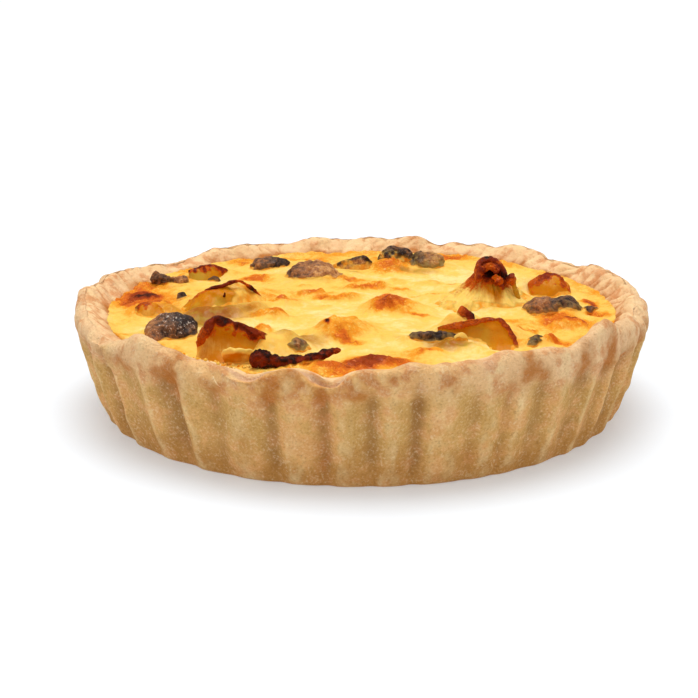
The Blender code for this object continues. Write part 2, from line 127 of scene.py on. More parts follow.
# Rolls that fingers left on the rim's inner slope: bearing, height, half-width, half-height, depth
ROLLS = 96
ROLL_SLANT = 0.16
ROLLED_HEIGHT = 22
ROLLED = [(92, 22, 36, 9, 0.85), (-97, 22, 34, 9, 0.55), (160, 22, 40, 9, 0.4), (-160, 22, 36, 9, 0.36)]

# Heights of the darker bands: painted shade under the rim and on its outer face, and painted shade with real
# toasting at the foot of its inner slope
UNDER_RIM = 18.6
RIM_FACE = 20.2
INNER_FOOT = 21.2

# Patches toasted orange brown: bearing, height, half-width, half-height, strength
TOASTED = [
    (-11.9, 22.2, 1.8, 1.1, 0.5), (-34.6, 18.6, 1.7, 3.4, 1), (-15.1, 20.8, 2, 1.6, 0.35),
    (-6.8, 18.6, 1.4, 3.6, 0.35), (0.2, 21.2, 2.6, 1.4, 0.35), (14.3, 22.6, 2, 1.6, 0.35),
    (29.3, 21.4, 1.7, 2.4, 0.6), (43.4, 21.4, 1.3, 3, 1.1), (-21.2, 9.4, 2.4, 5, 0.35),
    (20.3, 6, 2.6, 2.6, 0.55), (-7.8, 4.6, 1.6, 3, 0.4), (7.2, 4.2, 1.8, 2.6, 0.35),
    (-28, 12.6, 1.6, 3.6, 0.3), (-6.6, 10, 1, 9, 0.3), (-16.6, 19.4, 2, 2.2, 0.7), (-0.6, 19.6, 1.6, 2, 0.6),
    (24.6, 19, 2.6, 2, 0.4), (15.6, 21.2, 1.4, 1.6, 0.4), (-35, 21.2, 1.8, 2.4, 0.6), (-52, 14, 1.6, 5, 0.3),
    (36, 13, 1.6, 4, 0.3), (60, 14, 1.6, 6, 0.4), (29.6, 23.8, 1.5, 1.5, 0.5), (31.4, 22.4, 1.4, 1.6, 0.6),
    (33.5, 20.6, 1.5, 1.6, 0.6), (51.4, 21, 1.4, 2.8, 0.8), (5.5, 23, 1.8, 1.1, 0.5),
    (-25.6, 19.6, 1.8, 1.6, 0.5), (-48, 21, 1.8, 1.6, 0.5), (68, 20, 1.6, 3, 0.5), (-70, 20, 1.6, 3, 0.5)]

# Places where dry flour left the rim a pale pinkish grey, in the same five numbers
FLOURED = [(21.6, 23.6, 2.4, 1.4, 0.45), (10.7, 21, 1.6, 1.3, 0.35), (38, 22, 2, 1.6, 0.3)]


def smoothstep(low, high, value):
    """0 below low and 1 above high, with the cubic 3t^2 - 2t^3 between."""
    share = np.clip((value - low) / (high - low), 0, 1)
    return share * share * (3 - 2 * share)


def bell(distance, half_width):
    """A bump of height 1, and of a half at half_width: 2 to the power -(distance / half_width)^2."""
    return 2 ** -((distance / half_width) ** 2)


def waves(bearing, terms):
    """Sines round the tart, added up. A term is the number of waves, the height and the lead in degrees."""
    return sum(height * np.sin(np.radians(count * bearing + lead)) for count, height, lead in terms)


def apart(bearing, centre):
    """Degrees from the centre to each bearing, the short way round."""
    return (bearing - centre + 180) % 360 - 180


def bumps(bearing, spots):
    """Bells round the tart, added up. A spot is a bearing, a half-width in degrees and a height."""
    return sum(lift * bell(apart(bearing, centre), half_width) for centre, half_width, lift in spots)


def patches(bearing, height, spots):
    """Bells on the wall, added up. A spot is bearing, height, half-width, half-height and strength."""
    return sum(strength * bell(np.hypot(np.radians(apart(bearing, centre)) * RIM_RADIUS / across,
                                        (height - level) / up), 1)
               for centre, level, across, up, strength in spots)


def lumps(points, pitch, seed):
    """Smooth noise from -1 to 1: random heights at the corners of cubes of side pitch, blended between."""
    heights = np.random.default_rng(seed).uniform(-1, 1, (32, 32, 32))
    place = np.asarray(points, float) / pitch
    cell = np.floor(place).astype(int)
    part = place - cell
    part = part * part * (3 - 2 * part)
    total = np.zeros(place.shape[:-1])
    for corner in np.ndindex(2, 2, 2):
        weight = np.prod(np.where(np.array(corner) == 1, part, 1 - part), axis=-1)
        i, j, k = np.moveaxis((cell + corner) % 32, -1, 0)
        total += weight * heights[i, j, k]
    return total


def noise(points, *terms):
    """Lumps of several sizes, added up. A term is a height, a pitch and a seed."""
    return sum(height * lumps(points, pitch, seed) for height, pitch, seed in terms)


def rounded(share, power):
    """1 in the middle and 0 where share reaches 1 or -1, rounded off: the root of 1 - |share|^power."""
    return np.sqrt(np.clip(1 - np.abs(share) ** power, 0, 1))


def unit(vectors):
    """Vectors of length 1 with the same directions."""
    return vectors / np.maximum(np.linalg.norm(vectors, axis=-1, keepdims=True), 1e-6)


def through(points, share):
    """Places on a smooth curve through the points, at shares from 0 to 1 of the way along them.

    Between two points it is a cubic, whose slope at each is half the step between that point's neighbours."""
    points = np.asarray(points, float)
    padded = np.vstack([2 * points[0] - points[1], points, 2 * points[-1] - points[-2]])
    place = np.clip(share, 0, 1) * (len(points) - 1)
    first = np.minimum(place.astype(int), len(points) - 2)
    t = (place - first)[:, None]
    a, b, c, d = (padded[first + i] for i in range(4))
    bend = (2 * a - 5 * b + 4 * c - d) * t**2 + (3 * b - a - 3 * c + d) * t**3
    return 0.5 * (2 * b + (c - a) * t + bend)


def evenly(points, count):
    """Places at equal distances along the smooth curve through the points."""
    fine = through(points, np.linspace(0, 1, 40 * len(points)))
    walked = np.concatenate([[0], np.cumsum(np.linalg.norm(np.diff(fine, axis=0), axis=1))])
    stops = np.linspace(0, walked[-1], count)
    return np.stack([np.interp(stops, walked, column) for column in fine.T], axis=1)


def skin(name, points, masks):
    """A closed smooth mesh over a grid of points in millimetres, or over several grids of one size.

    Each row of a grid closes into a ring and points that coincide are merged. All faces are turned over when
    the volume they enclose comes out negative, so they face outwards.
    masks holds one value a point for each name, which the materials read as attributes."""
    number = np.arange(points.size // 3).reshape(points.shape[:-1])
    number = np.concatenate([number, number[..., :1]], axis=-1)
    corners = [number[..., :-1, :-1], number[..., 1:, :-1], number[..., 1:, 1:], number[..., :-1, 1:]]
    faces = np.stack(corners, axis=-1).reshape(-1, 4)
    a, b, c, d = np.moveaxis(points.reshape(-1, 3)[faces], 1, 0)
    if np.sum(a * (np.cross(b, c) + np.cross(c, d))) < 0:
        faces = faces[:, ::-1]
    mesh = bpy.data.meshes.new(name)
    mesh.vertices.add(points.size // 3)
    mesh.vertices.foreach_set("co", (points * MM).ravel())
    mesh.loops.add(faces.size)
    mesh.loops.foreach_set("vertex_index", faces.ravel())
    mesh.polygons.add(len(faces))
    mesh.polygons.foreach_set("loop_start", np.arange(0, faces.size, 4))
    mesh.update(calc_edges=True)
    for mask, values in masks.items():
        made = mesh.attributes.new(mask, "FLOAT", "POINT")
        made.data.foreach_set("value", np.broadcast_to(values, points.shape[:-1]).ravel().astype(np.float32))
    shell = bmesh.new()
    shell.from_mesh(mesh)
    bmesh.ops.remove_doubles(shell, verts=shell.verts, dist=MERGED_WITHIN * MM)
    shell.to_mesh(mesh)
    shell.free()
    mesh.shade_smooth()
    return mesh


def show(mesh, finish):
    """Puts a mesh in the scene under its own name, with its finish."""
    piece = bpy.data.objects.new(mesh.name, mesh)
    bpy.context.scene.collection.objects.link(piece)
    mesh.materials.append(finish)
    return piece


class Wire:
    """A socket in one material. Sums and products of wires and numbers add Math nodes to that material."""

    def __init__(self, tree, socket=None):
        self.tree = tree
        self.socket = socket

    def node(self, kind, settings, sockets, output=0):
        """Adds a node: its settings are made first, then its sockets take values or wires."""
        made = self.tree.nodes.new("ShaderNode" + kind)
        for key, value in settings.items():
            setattr(made, key, value)
        for key, value in sockets.items():
            if isinstance(value, Wire):
                self.tree.links.new(value.socket, made.inputs[key])
            else:
                made.inputs[key].default_value = value
        return Wire(self.tree, made.outputs[output])

    def math(self, operation, first, second):
        return self.node("Math", {"operation": operation}, {0: first, 1: second})

    def __add__(self, other):
        return self.math("ADD", self, other)

    def __radd__(self, other):
        return self.math("ADD", other, self)

    def __sub__(self, other):
        return self.math("SUBTRACT", self, other)

    def __rsub__(self, other):
        return self.math("SUBTRACT", other, self)

    def __mul__(self, other):
        return self.math("MULTIPLY", self, other)

    def __rmul__(self, other):
        return self.math("MULTIPLY", other, self)

    def step(self, low, high):
        """0 below low and 1 above high, smooth between."""
        return self.node("MapRange", {"interpolation_type": "SMOOTHSTEP"}, {0: self, 1: low, 2: high})

    def blend(self, off, on):
        """The colour off where this is 0, and the colour on where it is 1."""
        return self.node("Mix", {"data_type": "RGBA"}, {0: self, 6: off, 7: on}, output=2)

    def mask(self, name):
        """The mesh's own attribute of that name."""
        return self.node("Attribute", {"attribute_name": name}, {}, output=2)

    def place(self):
        """Object coordinates, in metres."""
        return self.node("TexCoord", {}, {}, output=3)

    def grain(self, size, detail=2, rough=0.55, stretch=(1, 1, 1)):
        """Noise from 0 to 1, of a size in millimetres, which is longer along a stretched axis."""
        pitch = [1 / (size * MM * part) for part in stretch]
        scaled = self.node("VectorMath", {"operation": "MULTIPLY"}, {0: self.place(), 1: pitch})
        return self.node("TexNoise", {}, {"Vector": scaled, "Scale": 1, "Detail": detail, "Roughness": rough})

    def bump(self, depth):
        """A normal from this height, whose full range is depth in millimetres."""
        return self.node("Bump", {}, {"Height": self, "Distance": depth * MM})


def tone(red, green, blue):
    """The linear colour of a screen colour from 0 to 255."""
    screen = np.array([red, green, blue]) / 255
    linear = np.where(screen <= 0.04045, screen / 12.92, ((screen + 0.055) / 1.055) ** 2.4)
    return (*map(float, linear), 1)


def start_finish(name, **constants):
    """A material with a Principled shader. Constants go on its sockets; the wire starts its nodes."""
    finish = bpy.data.materials.new(name)
    finish.use_nodes = True
    shader = finish.node_tree.nodes["Principled BSDF"]
    for socket, value in constants.items():
        shader.inputs[socket.replace("_", " ")].default_value = value
    return finish, Wire(finish.node_tree)


def feed(finish, **wires):
    """Links wires to the sockets of the finish's Principled shader."""
    shader = finish.node_tree.nodes["Principled BSDF"]
    for socket, wire in wires.items():
        finish.node_tree.links.new(wire.socket, shader.inputs[socket.replace("_", " ")])


def rolls(phase):
    """Rounded rolls side by side with a narrow crease between: the root of |sin(pi phase)|, less its mean."""
    return np.sqrt(np.abs(np.sin(np.pi * phase))) - 0.76


def rib_wander(bearing):
    """Degrees by which the ribs stray from an even pitch: wider at the left front, uneven on the right."""
    lag = smoothstep(*LAG_FROM, bearing) * smoothstep(*LAG_BACK, bearing)
    uneven = smoothstep(*SWAY_FROM, bearing) * smoothstep(*SWAY_BACK, bearing)
    sway = SWAY_LEAD + RIB_SWAY * np.cos(np.radians(SWAY_TURNS * (bearing - SWAY_CENTRE)))
    return sway * uneven - RIB_LAG * lag


def flute_relief(bearing):
    """0 on a rib's crest and about -1 in a groove, from a cosine wave called crest.

    At the front it is -(1 - crest)^1.5, which has narrow grooves, and at the sides -(1 - crest^2.3), which
    has narrow crests. The pitch wanders, some ribs are faint, and all are steeper on their left."""
    phase = np.radians(FLUTES * (bearing - rib_wander(bearing) - RIB_LEAD))
    crest = 0.5 - 0.5 * np.cos(phase - FLUTE_SKEW * (1 + np.cos(phase)))
    strength = 0.9 + waves(bearing, STRENGTH_WAVES) - bumps(bearing, FAINT_RIBS)
    side = smoothstep(*FRONT_TO_SIDE, np.abs(bearing))
    return -strength * ((1 - side) * (1 - crest) ** 1.5 + side * (1 - crest**2.3))


bearing = np.linspace(-180, 180, CASE_COLUMNS, endpoint=False)[None, :]
section = np.vstack([[0, CASE_FLOOR], [HOLLOW_FLOOR_RADIUS, CASE_FLOOR], evenly(CASE_SECTION, CASE_ROWS),
                     [0.9 * BASE_RADIUS, 0], [0, 0]])
run = unit(np.gradient(section, axis=0))
out_radial, out_up = -run[:, 1:], run[:, :1]
radius, height = section[:, :1], section[:, 1:]
top_row = np.argmax(height[:, 0])
outside = (np.arange(len(section)) > top_row)[:, None] * 1.0
start = 0.35 + 0.65 * smoothstep(*RIBS_START, height)
fade = 1 - 0.75 * smoothstep(*RIBS_FADE, height)
relief = flute_relief(bearing) * start * fade * outside
high = smoothstep(*WANDER_FROM, height)
sway = waves(bearing, RADIUS_WAVES) * high
rise = waves(bearing, HEIGHT_WAVES) + bumps(bearing, RIM_LUMPS)
turn = np.radians(bearing)
flat = np.stack([radius * np.sin(turn), -radius * np.cos(turn), height + 0 * bearing], axis=-1)
off_base = smoothstep(0, 2, height)
on_rim = smoothstep(*RIM_FROM, height)
push = noise(flat, (0.4, 7, 11), (0.22, 3.2, 12), (0.08, 1.6, 13))
kneaded = noise(flat, (0.5, 4.6, 14), (0.1 + 0.18 * outside, 2.2, 15), (0.1 * outside, 1.1, 19))
push = push + on_rim * kneaded
ledge = LEDGE_HEIGHT + waves(bearing, LEDGE_WAVES)
push = push + LEDGE_DEPTH * (0.6 + lumps(flat, 9, 20)) * smoothstep(-0.7, 0.3, height - ledge) * outside
steps = np.linalg.norm(np.diff(section, axis=0), axis=1)
walked = np.concatenate([[0], np.cumsum(steps)])[:, None]
past_top = walked - walked[top_row] - LIP_AT - bumps(bearing, LIP_DROOPS) + 0.5 * lumps(flat, 2.6, 21)
lip_share = bell((bearing - LIP_BEARING[0]) / LIP_BEARING[1], 1) * outside
lip = bell(past_top, 0.8) * lip_share
trough = bell(past_top + 2.4, 1.2) * lip_share
push = push + LIP_RISE * lip - TROUGH_DEPTH * trough
phase = bearing / 360 * ROLLS + ROLL_SLANT * (radius - 58) + 0.9 * lumps(flat, 7, 17)
crease = rolls(phase) * patches(bearing, ROLLED_HEIGHT, ROLLED) * on_rim * (1 - outside)
push = (push + crease - 0.3) * off_base + patches(bearing, height, RIM_KNOBS) * outside
case_radius = radius + FLUTE_DEPTH * relief + sway + push * out_radial
beyond = np.maximum(case_radius - WIDEST, 0)
case_radius = case_radius - beyond + WIDEST_ROOM * np.tanh(beyond / WIDEST_ROOM)
case_height = height + rise * high + push * out_up
case_points = np.stack([case_radius * np.sin(turn), -case_radius * np.cos(turn), case_height], axis=-1)
in_groove = smoothstep(0.2, 0.9, -relief / np.maximum(start * fade, 0.1))
# Painted shade bands: under the rim in the grooves, on the rim's outer face, and at the foot of the inner
# slope, which is part painted shade and part toasting.
shade_under_rim = bell(height - UNDER_RIM, 2.2) * outside * in_groove
face = bell(height - RIM_FACE, 1.7) * outside
inner_foot = bell(height - INNER_FOOT, 0.9) * (1 - outside)
# The toast mask is the toasted patches plus painted shade: in the rolls' creases, in the bands under the rim
# and on its outer face, and partly at the foot of the inner slope.
toast_and_shade = patches(bearing, height, TOASTED) * outside - 1.2 * np.minimum(crease, 0)
toast_and_shade = toast_and_shade + (0.3 * shade_under_rim + 0.34 * face) * (0.9 + lumps(flat, 5, 16))
toast_and_shade = toast_and_shade + 0.3 * smoothstep(0.1, 0.8, lumps(flat, 5, 18)) * on_rim
# Painted shade: the groove mask darkens the grooves, and the groove tops under the rim, in colour. Below zero
# it marks the rib crests, where a painted highlight goes.
groove = -relief * (1 - 0.3 * smoothstep(*FRONT_TO_SIDE, np.abs(bearing))) + 0.3 * shade_under_rim
toast_and_shade = toast_and_shade + 0.9 * inner_foot * (0.7 + lumps(flat, 4, 22)) + 0.42 * bell(past_top - 0.5, 1.3) * lip_share
floury = trough + patches(bearing, height, FLOURED) * outside
case_mesh = skin("baked_pastry_case", case_points,
                 {"groove": groove, "toast_and_shade": toast_and_shade, "floury": floury, "inner": on_rim * (1 - outside),
                  "golden": outside * bell(bearing - GOLDEN_BEARING[0], GOLDEN_BEARING[1])})

WALL_GOLD = tone(226, 172, 104)
WALL_LOW = tone(188, 128, 62)
WALL_OLIVE = tone(206, 160, 92)
RIM_TAN = tone(244, 200, 150)
RIM_GOLD = tone(240, 184, 112)
GROOVE_SHADE_BROWN = tone(140, 92, 48)
CREST_HIGHLIGHT_PALE = tone(250, 220, 164)
TOAST_AND_SHADE_BROWN = tone(186, 112, 46)
FLOURED_PINK = tone(222, 176, 136)
BLUSH_TAN = tone(220, 152, 98)
FLOUR_PALE = tone(255, 234, 190)
GRIT_BROWN = tone(150, 96, 48)

crust, wire = start_finish("baked_shortcrust", Roughness=0.7, Specular_IOR_Level=0.07)
level = wire.node("SeparateXYZ", {}, {0: wire.place()}, output=2)
broad, mottle, fine = wire.grain(7), wire.grain(2.6, 2, 0.5), wire.grain(0.5, 2, 0.7)
streak = wire.grain(2.4, 2, 0.5, stretch=(1, 1, 3))
colour = (broad + (mottle - 0.5) * 0.5).step(0.36, 0.66).blend(WALL_OLIVE, WALL_GOLD)
low_share = (level + (broad - 0.5) * 0.016 + (mottle - 0.5) * 0.006).step(0.01, 0.001)
colour = (low_share * 0.7).blend(colour, WALL_LOW)
rim_share = (level + (broad - 0.5) * 0.012).step(0.015, 0.0225)
colour = rim_share.blend(colour, wire.mask("golden").blend(RIM_TAN, RIM_GOLD))
groove = wire.mask("groove") + (streak - 0.5) * 0.5 + (mottle - 0.5) * 0.4
# Painted shade in the grooves and under the rim.
colour = (groove.step(0.1, 1.1) * 0.7).blend(colour, GROOVE_SHADE_BROWN)
# Painted highlight on the rib crests.
colour = (groove.step(0.12, -0.2) * 0.6).blend(colour, CREST_HIGHLIGHT_PALE)
colour = ((mottle + (broad - 0.5) * 0.8).step(0.48, 0.7) * (0.3 + rim_share * 0.55)).blend(colour, BLUSH_TAN)
# Toasted patches, and painted shade in the creases and bands, in one brown.
toast_and_shade_share = wire.mask("toast_and_shade") * (mottle + mottle)
colour = (toast_and_shade_share.step(0, 1.3) * 0.9).blend(colour, TOAST_AND_SHADE_BROWN)
colour = (wire.mask("floury") + (mottle - 0.5) * 0.6).step(0.1, 0.8).blend(colour, FLOURED_PINK)
dusty = (wire.grain(3.4) + (fine - 0.5) * 0.2).step(0.54, 0.72) * rim_share
colour = (dusty * 0.18).blend(colour, FLOUR_PALE)
calm = 1 - wire.mask("inner") * 0.55
speck = fine + (mottle - 0.5) * 0.3
colour = (speck.step(0.5, 0.78) * calm * (0.4 - toast_and_shade_share.step(0.3, 1) * 0.25)).blend(colour, FLOUR_PALE)
colour = (speck.step(0.5, 0.2) * calm * (0.46 - rim_share * 0.2)).blend(colour, GRIT_BROWN)
rough = (fine * calm * 0.9 + mottle * 1.2) * (rim_share * 0.6 + 0.8)
feed(crust, Base_Color=colour, Normal=(rough + streak * 0.4).bump(0.42))

case = show(case_mesh, crust)
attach(case, "root")
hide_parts("pastry_case")

# Cheese filling
# Egg and cheese custard poured into the case and set, which swelled into mounds and browned on its high
# places. It is one turned surface whose top is lifted by the mounds, and its edge reaches into the crust.
FILLING_LEVEL = 20.7
FILLING_RADIUS = 55.9
FILLING_DOME = 0.7
EDGE_REACH = 0.5
EDGE_RISE = 0.4
EDGE_WIDTH = 1.6
FILLING_RINGS = 158
FILLING_STEPS = 610

# Swellings: x, y, rise, half-width across, half-width deep, turn in degrees
MOUNDS = [
    (-3.8, -25.2, 3.5, 5.6, 4.4, 0), (7.2, -6.6, 2.9, 5.2, 4.2, 0), (4, -45.5, 1.9, 5, 3, 0),
    (12.5, -38, 1.4, 3.4, 2.8, 0), (45, -18.5, 1.9, 2.8, 2.6, 0), (39, -31, 1.3, 3, 1.4, 40),
    (-19.6, -12.4, 2.2, 3.4, 2.8, 0), (-17, 0.5, 1.4, 3, 2.6, 0), (-10.7, 9, 1.2, 2.4, 2.2, 0),
    (-4.5, 4.5, 1.2, 3.2, 2.2, 0), (1.6, 15, 1.1, 3.8, 2.4, 0), (-25, 26.5, 0.9, 3.4, 2, 0),
    (-49, 8, 0.9, 2.6, 3.4, 0), (-6.5, -48.5, 1.2, 4.6, 2.4, 8), (6.5, 35, 1.6, 4.2, 3.2, 0),
    (-13, -34, 1.6, 6.5, 3, 25), (20.5, -33.6, 1.2, 3.6, 2, 0), (31.5, -22, 1.1, 2.6, 2.2, 0),
    (28, 1.5, 0.5, 12, 9, 0), (0.6, -18, 1, 2, 1.6, 0), (12.6, -12.6, 0.8, 2.4, 1.8, 0),
    (-19.9, -24, 1.2, 2.2, 1.6, 0), (9, 12.5, 0.9, 2.6, 1.6, 0), (21, 16.5, 0.8, 3, 1.8, 10)]

# Where it climbs the toppings, in the same six numbers
SKIRTS = [
    (-39.5, -25.8, 1.4, 7.6, 6.6, 0), (-11.6, 25.6, 1.2, 8.8, 7.4, 0), (-23.6, 36.4, 1.1, 6.6, 5, 0),
    (41.6, -8, 1.3, 8.4, 5.2, 12), (8.2, 40, 1.6, 6, 3, 0), (16.6, 36.4, 1.2, 6.4, 4.6, 0),
    (-2, 37.6, 1.2, 6.4, 2.6, 0), (-23, -33, 2.6, 8.6, 3, -22), (-33.4, 1.4, 2.8, 5, 3, 0),
    (-25.6, 3.8, 2.2, 4.6, 2.6, 10), (22.4, -23.4, 2.8, 6.6, 2.6, -8), (31, -28, 2.4, 3.4, 2.4, -50),
    (18.4, 2.4, 1.1, 5.4, 2.6, -14), (36.2, -0.6, 1.6, 2.2, 2.2, 0), (43.2, 15, 2.4, 5.4, 2.6, 0),
    (37.4, 14.4, 1.4, 4, 2, 0), (-37, 29.4, 1.6, 6, 3, 20), (-33, -11, 1.9, 6.4, 2.4, 14),
    (-27, -15.6, 1.2, 5, 2, -18), (-25, -6.4, 2, 5.4, 2.6, 25), (-36.6, -17, 0.9, 3, 2.2, 0),
    (-46.2, -5, 1.4, 5, 2.6, 0), (-46, 19.4, 0.9, 7, 3, 0), (15.6, -29.6, 1.2, 7, 2.6, 6),
    (-12.8, -36.4, 1.1, 5, 2.4, 10), (-11, -50.4, 1.1, 7.6, 2.2, 8), (21.2, -22.4, 1.4, 2.8, 1.6, 0),
    (35.2, -31.6, 1, 3.6, 2.4, 30), (-40.6, 4.8, 0.7, 2.6, 2.2, 0), (50.6, -6.6, 0.6, 4.4, 2.2, 20)]

# Small swellings at random: how many, how far out, rise, half-width in millimetres and brownness at most
SMALL = 110
SMALL_REACH = 53
SMALL_RISE = 0.6
SMALL_WIDTH = 2.4
SMALL_BROWN = 0.2

# How the outlines of mounds and browned spots wander: seed, and millimetres of broad and of fine wandering
MOUND_WANDER = (21, 1.5, 0.6)
SPOT_WANDER = (31, 0.5, 0.6)

# A golden halo round each browned spot: its width as a multiple of the spot's, and its share of the strength
HALO_WIDTH = 2.3
HALO_STRENGTH = 0.24

# Brownness everywhere, and the radii between which the golden edge comes in
BROWN_BASE = 0.05
GOLDEN_EDGE = (47, 57)

# Browned spots: x, y, half-width across, half-width deep, strength
BROWNED = [
    (-4, -25.6, 6, 4, 0.22), (-2.6, -30.8, 1.7, 1.3, 0.7), (-6.3, -26.3, 0.36, 0.6, 2.4),
    (8.2, -6.4, 3.6, 2.4, 0.46), (6, -9.4, 3, 1.2, 0.4), (12.8, -12.8, 1.9, 1, 0.5),
    (4.4, -45.6, 5, 2.6, 0.98), (-1, -47.4, 4.6, 2.6, 0.42), (-7.2, -48.4, 5, 3.2, 0.42),
    (12.2, -38.2, 2.9, 1.6, 0.56), (45.4, -17.6, 2.5, 1.8, 0.8), (41.6, -15.6, 2, 1.2, 0.4),
    (39.4, -30.6, 3, 1.2, 0.55), (52, 2.6, 1.2, 1.4, 0.95), (34, -21, 3.2, 0.8, 0.55),
    (-19.8, -12.2, 3.4, 2, 0.52), (-18.2, 0.6, 3.4, 1.6, 0.44), (-20.6, 4.4, 2.4, 1.2, 0.3),
    (-11, 9, 2.2, 1.4, 0.52), (-5.6, 4.6, 3.2, 1.6, 0.44), (1.2, 14.6, 3.4, 1.6, 0.5),
    (9, 12.2, 2.4, 1.2, 0.44), (13, 5.4, 2.2, 1, 0.34), (-25.4, 24.2, 3, 1.8, 0.64),
    (-28.5, 41, 2.2, 2.4, 0.5), (-3, 21.5, 3.4, 2, 0.45), (21, 18, 3, 1.4, 0.5),
    (-51.6, 10.5, 2.4, 3.4, 0.75), (-48.4, 6.6, 3.2, 1.6, 1.25), (-46.6, 0.6, 2.8, 2.4, 0.55),
    (-52.6, 3, 1.6, 2.6, 0.45), (-44.5, 24, 4, 1.6, 0.5), (6.5, 33, 4.4, 2.6, 0.42),
    (41.6, -12.4, 3.6, 1.6, 0.4), (52, -8.6, 1.8, 1.6, 0.5), (37.6, 20.6, 3.4, 1.2, 0.45),
    (19, 9.4, 3.2, 1.2, 0.42), (-22.4, 11.6, 3, 1.2, 0.22), (30.6, -15.8, 3, 1.4, 0.3),
    (-47, -33, 1.4, 1.4, 0.5), (-19.9, -24.2, 2, 1.2, 0.42), (24, 48, 3.4, 1.8, 0.45),
    (-14, 47, 4, 1.6, 0.35)]

# Broad places that turned golden, in the same five numbers
GOLDEN = [
    (-45, -4, 9, 9, 0.26), (-46, 14, 7, 8, 0.24), (4, 42, 30, 8, 0.14), (-22, 14, 16, 6, 0.12),
    (44, -20, 7, 7, 0.16), (-38, -36, 6, 5, 0.12)]

# Wet olive places where juices ran out: x, y, half-width across, half-width deep, strength
JUICES = [
    (-14, -32.4, 7, 3.8, 0.85), (-33, -13, 7.6, 6.4, 1.1), (-22, -7.4, 4.6, 4, 0.45),
    (27, -3.6, 9, 4.6, 0.55), (17, -33.4, 4.6, 2.6, 0.6), (-43, 0, 3.4, 2, 0.4), (11, -28.8, 4, 2, 0.65),
    (19.6, -33.2, 5, 2.4, 0.55), (-2.6, 31, 3.6, 1.4, 0.7), (15, 31, 4.6, 2, 0.65),
    (-11.6, 19.6, 6, 1.6, 0.5), (-39.4, -20.8, 5, 3, 0.4), (-43.6, -5.6, 4.4, 2.6, 0.45),
    (-44, 17, 6, 1.6, 0.35), (9, 32.4, 3, 1.4, 0.45)]


def turned(x, y, angle):
    """x and y turned anticlockwise by an angle in degrees."""
    cosine, sine = np.cos(np.radians(angle)), np.sin(np.radians(angle))
    return cosine * x - sine * y, sine * x + cosine * y


def heap_up(x, y, swellings):
    """Flat-topped bells, 2 to the power -q^2.7, added up. Each is an ellipse turned by its angle."""
    total = 0
    for middle_x, middle_y, lift, across, deep, angle in swellings:
        along, beside = turned(x - middle_x, y - middle_y, -angle)
        total = total + lift * bell(np.hypot(along / across, beside / deep) ** 1.35, 1)
    return total


def spread(x, y, spots):
    """Bells added up. A spot is x, y, half-width across, half-width deep and strength."""
    return heap_up(x, y, [(mx, my, strength, across, deep, 0) for mx, my, across, deep, strength in spots])


def flat_on(x, y):
    """Points x, y at height 0, where noise is read for what is seen from above."""
    return np.stack([x, y, 0 * x], axis=-1)


def circle(count):
    """Angles evenly round a circle, in radians."""
    return np.linspace(0, 2 * np.pi, count, endpoint=False)


def astray(x, y, seed, far, near):
    """Places moved about by noise, far at a pitch of 5 mm and near at 2 mm. Bells read there are ragged."""
    moved = [noise(flat_on(x, y), (far, 5, seed + i), (near, 2, seed + 2 + i)) for i in range(2)]
    return x + moved[0], y + moved[1]


draw = np.random.default_rng(7)
small_way = draw.uniform(0, 2 * np.pi, SMALL)
small_reach = SMALL_REACH * np.sqrt(draw.uniform(0, 1, SMALL))
small_width = SMALL_WIDTH * draw.uniform(0.4, 1, SMALL)
small = list(zip(small_reach * np.cos(small_way), small_reach * np.sin(small_way),
                 SMALL_RISE * draw.uniform(0.2, 1, SMALL), small_width, 0.7 * small_width, 0 * small_width))
small_brown = [(x, y, 1.1 * across, 0.8 * across, SMALL_BROWN * lift / SMALL_RISE)
               for x, y, lift, across, deep, angle in small]
haloes = [(x, y, HALO_WIDTH * across, HALO_WIDTH * deep, HALO_STRENGTH * min(strength, 1))
          for x, y, across, deep, strength in BROWNED]


def filling_top(x, y):
    """Height of the baked custard: a shallow dome, mounds with wandering outlines, and small lumps."""
    dome = FILLING_DOME * (1 - (x * x + y * y) / FILLING_RADIUS**2)
    mounds = heap_up(*astray(x, y, *MOUND_WANDER), MOUNDS + SKIRTS + small)
    return FILLING_LEVEL + dome + mounds + noise(flat_on(x, y), (0.4, 7, 25), (0.22, 3, 26))


def browning(x, y):
    """How brown the custard is, from 0: its browned spots, its high places, and a golden edge."""
    places = astray(x, y, *MOUND_WANDER)
    spots = spread(*astray(*places, *SPOT_WANDER), BROWNED + GOLDEN + small_brown + haloes)
    edge = smoothstep(*GOLDEN_EDGE, np.hypot(x, y)) * (0.24 + 0.22 * lumps(flat_on(x, y), 6, 35))
    return spots + 0.04 * heap_up(*places, MOUNDS + SKIRTS) + edge + BROWN_BASE


def film(points, reach, seed):
    """How much custard clings to a topping: 1 below the custard's surface and 0 from reach above it."""
    ragged = noise(points, (0.5, 1.8, seed), (0.35, 0.8, seed + 1))
    clear = points[..., 2] - filling_top(points[..., 0], points[..., 1])
    return 1 - smoothstep(0, 1, clear / reach + ragged)


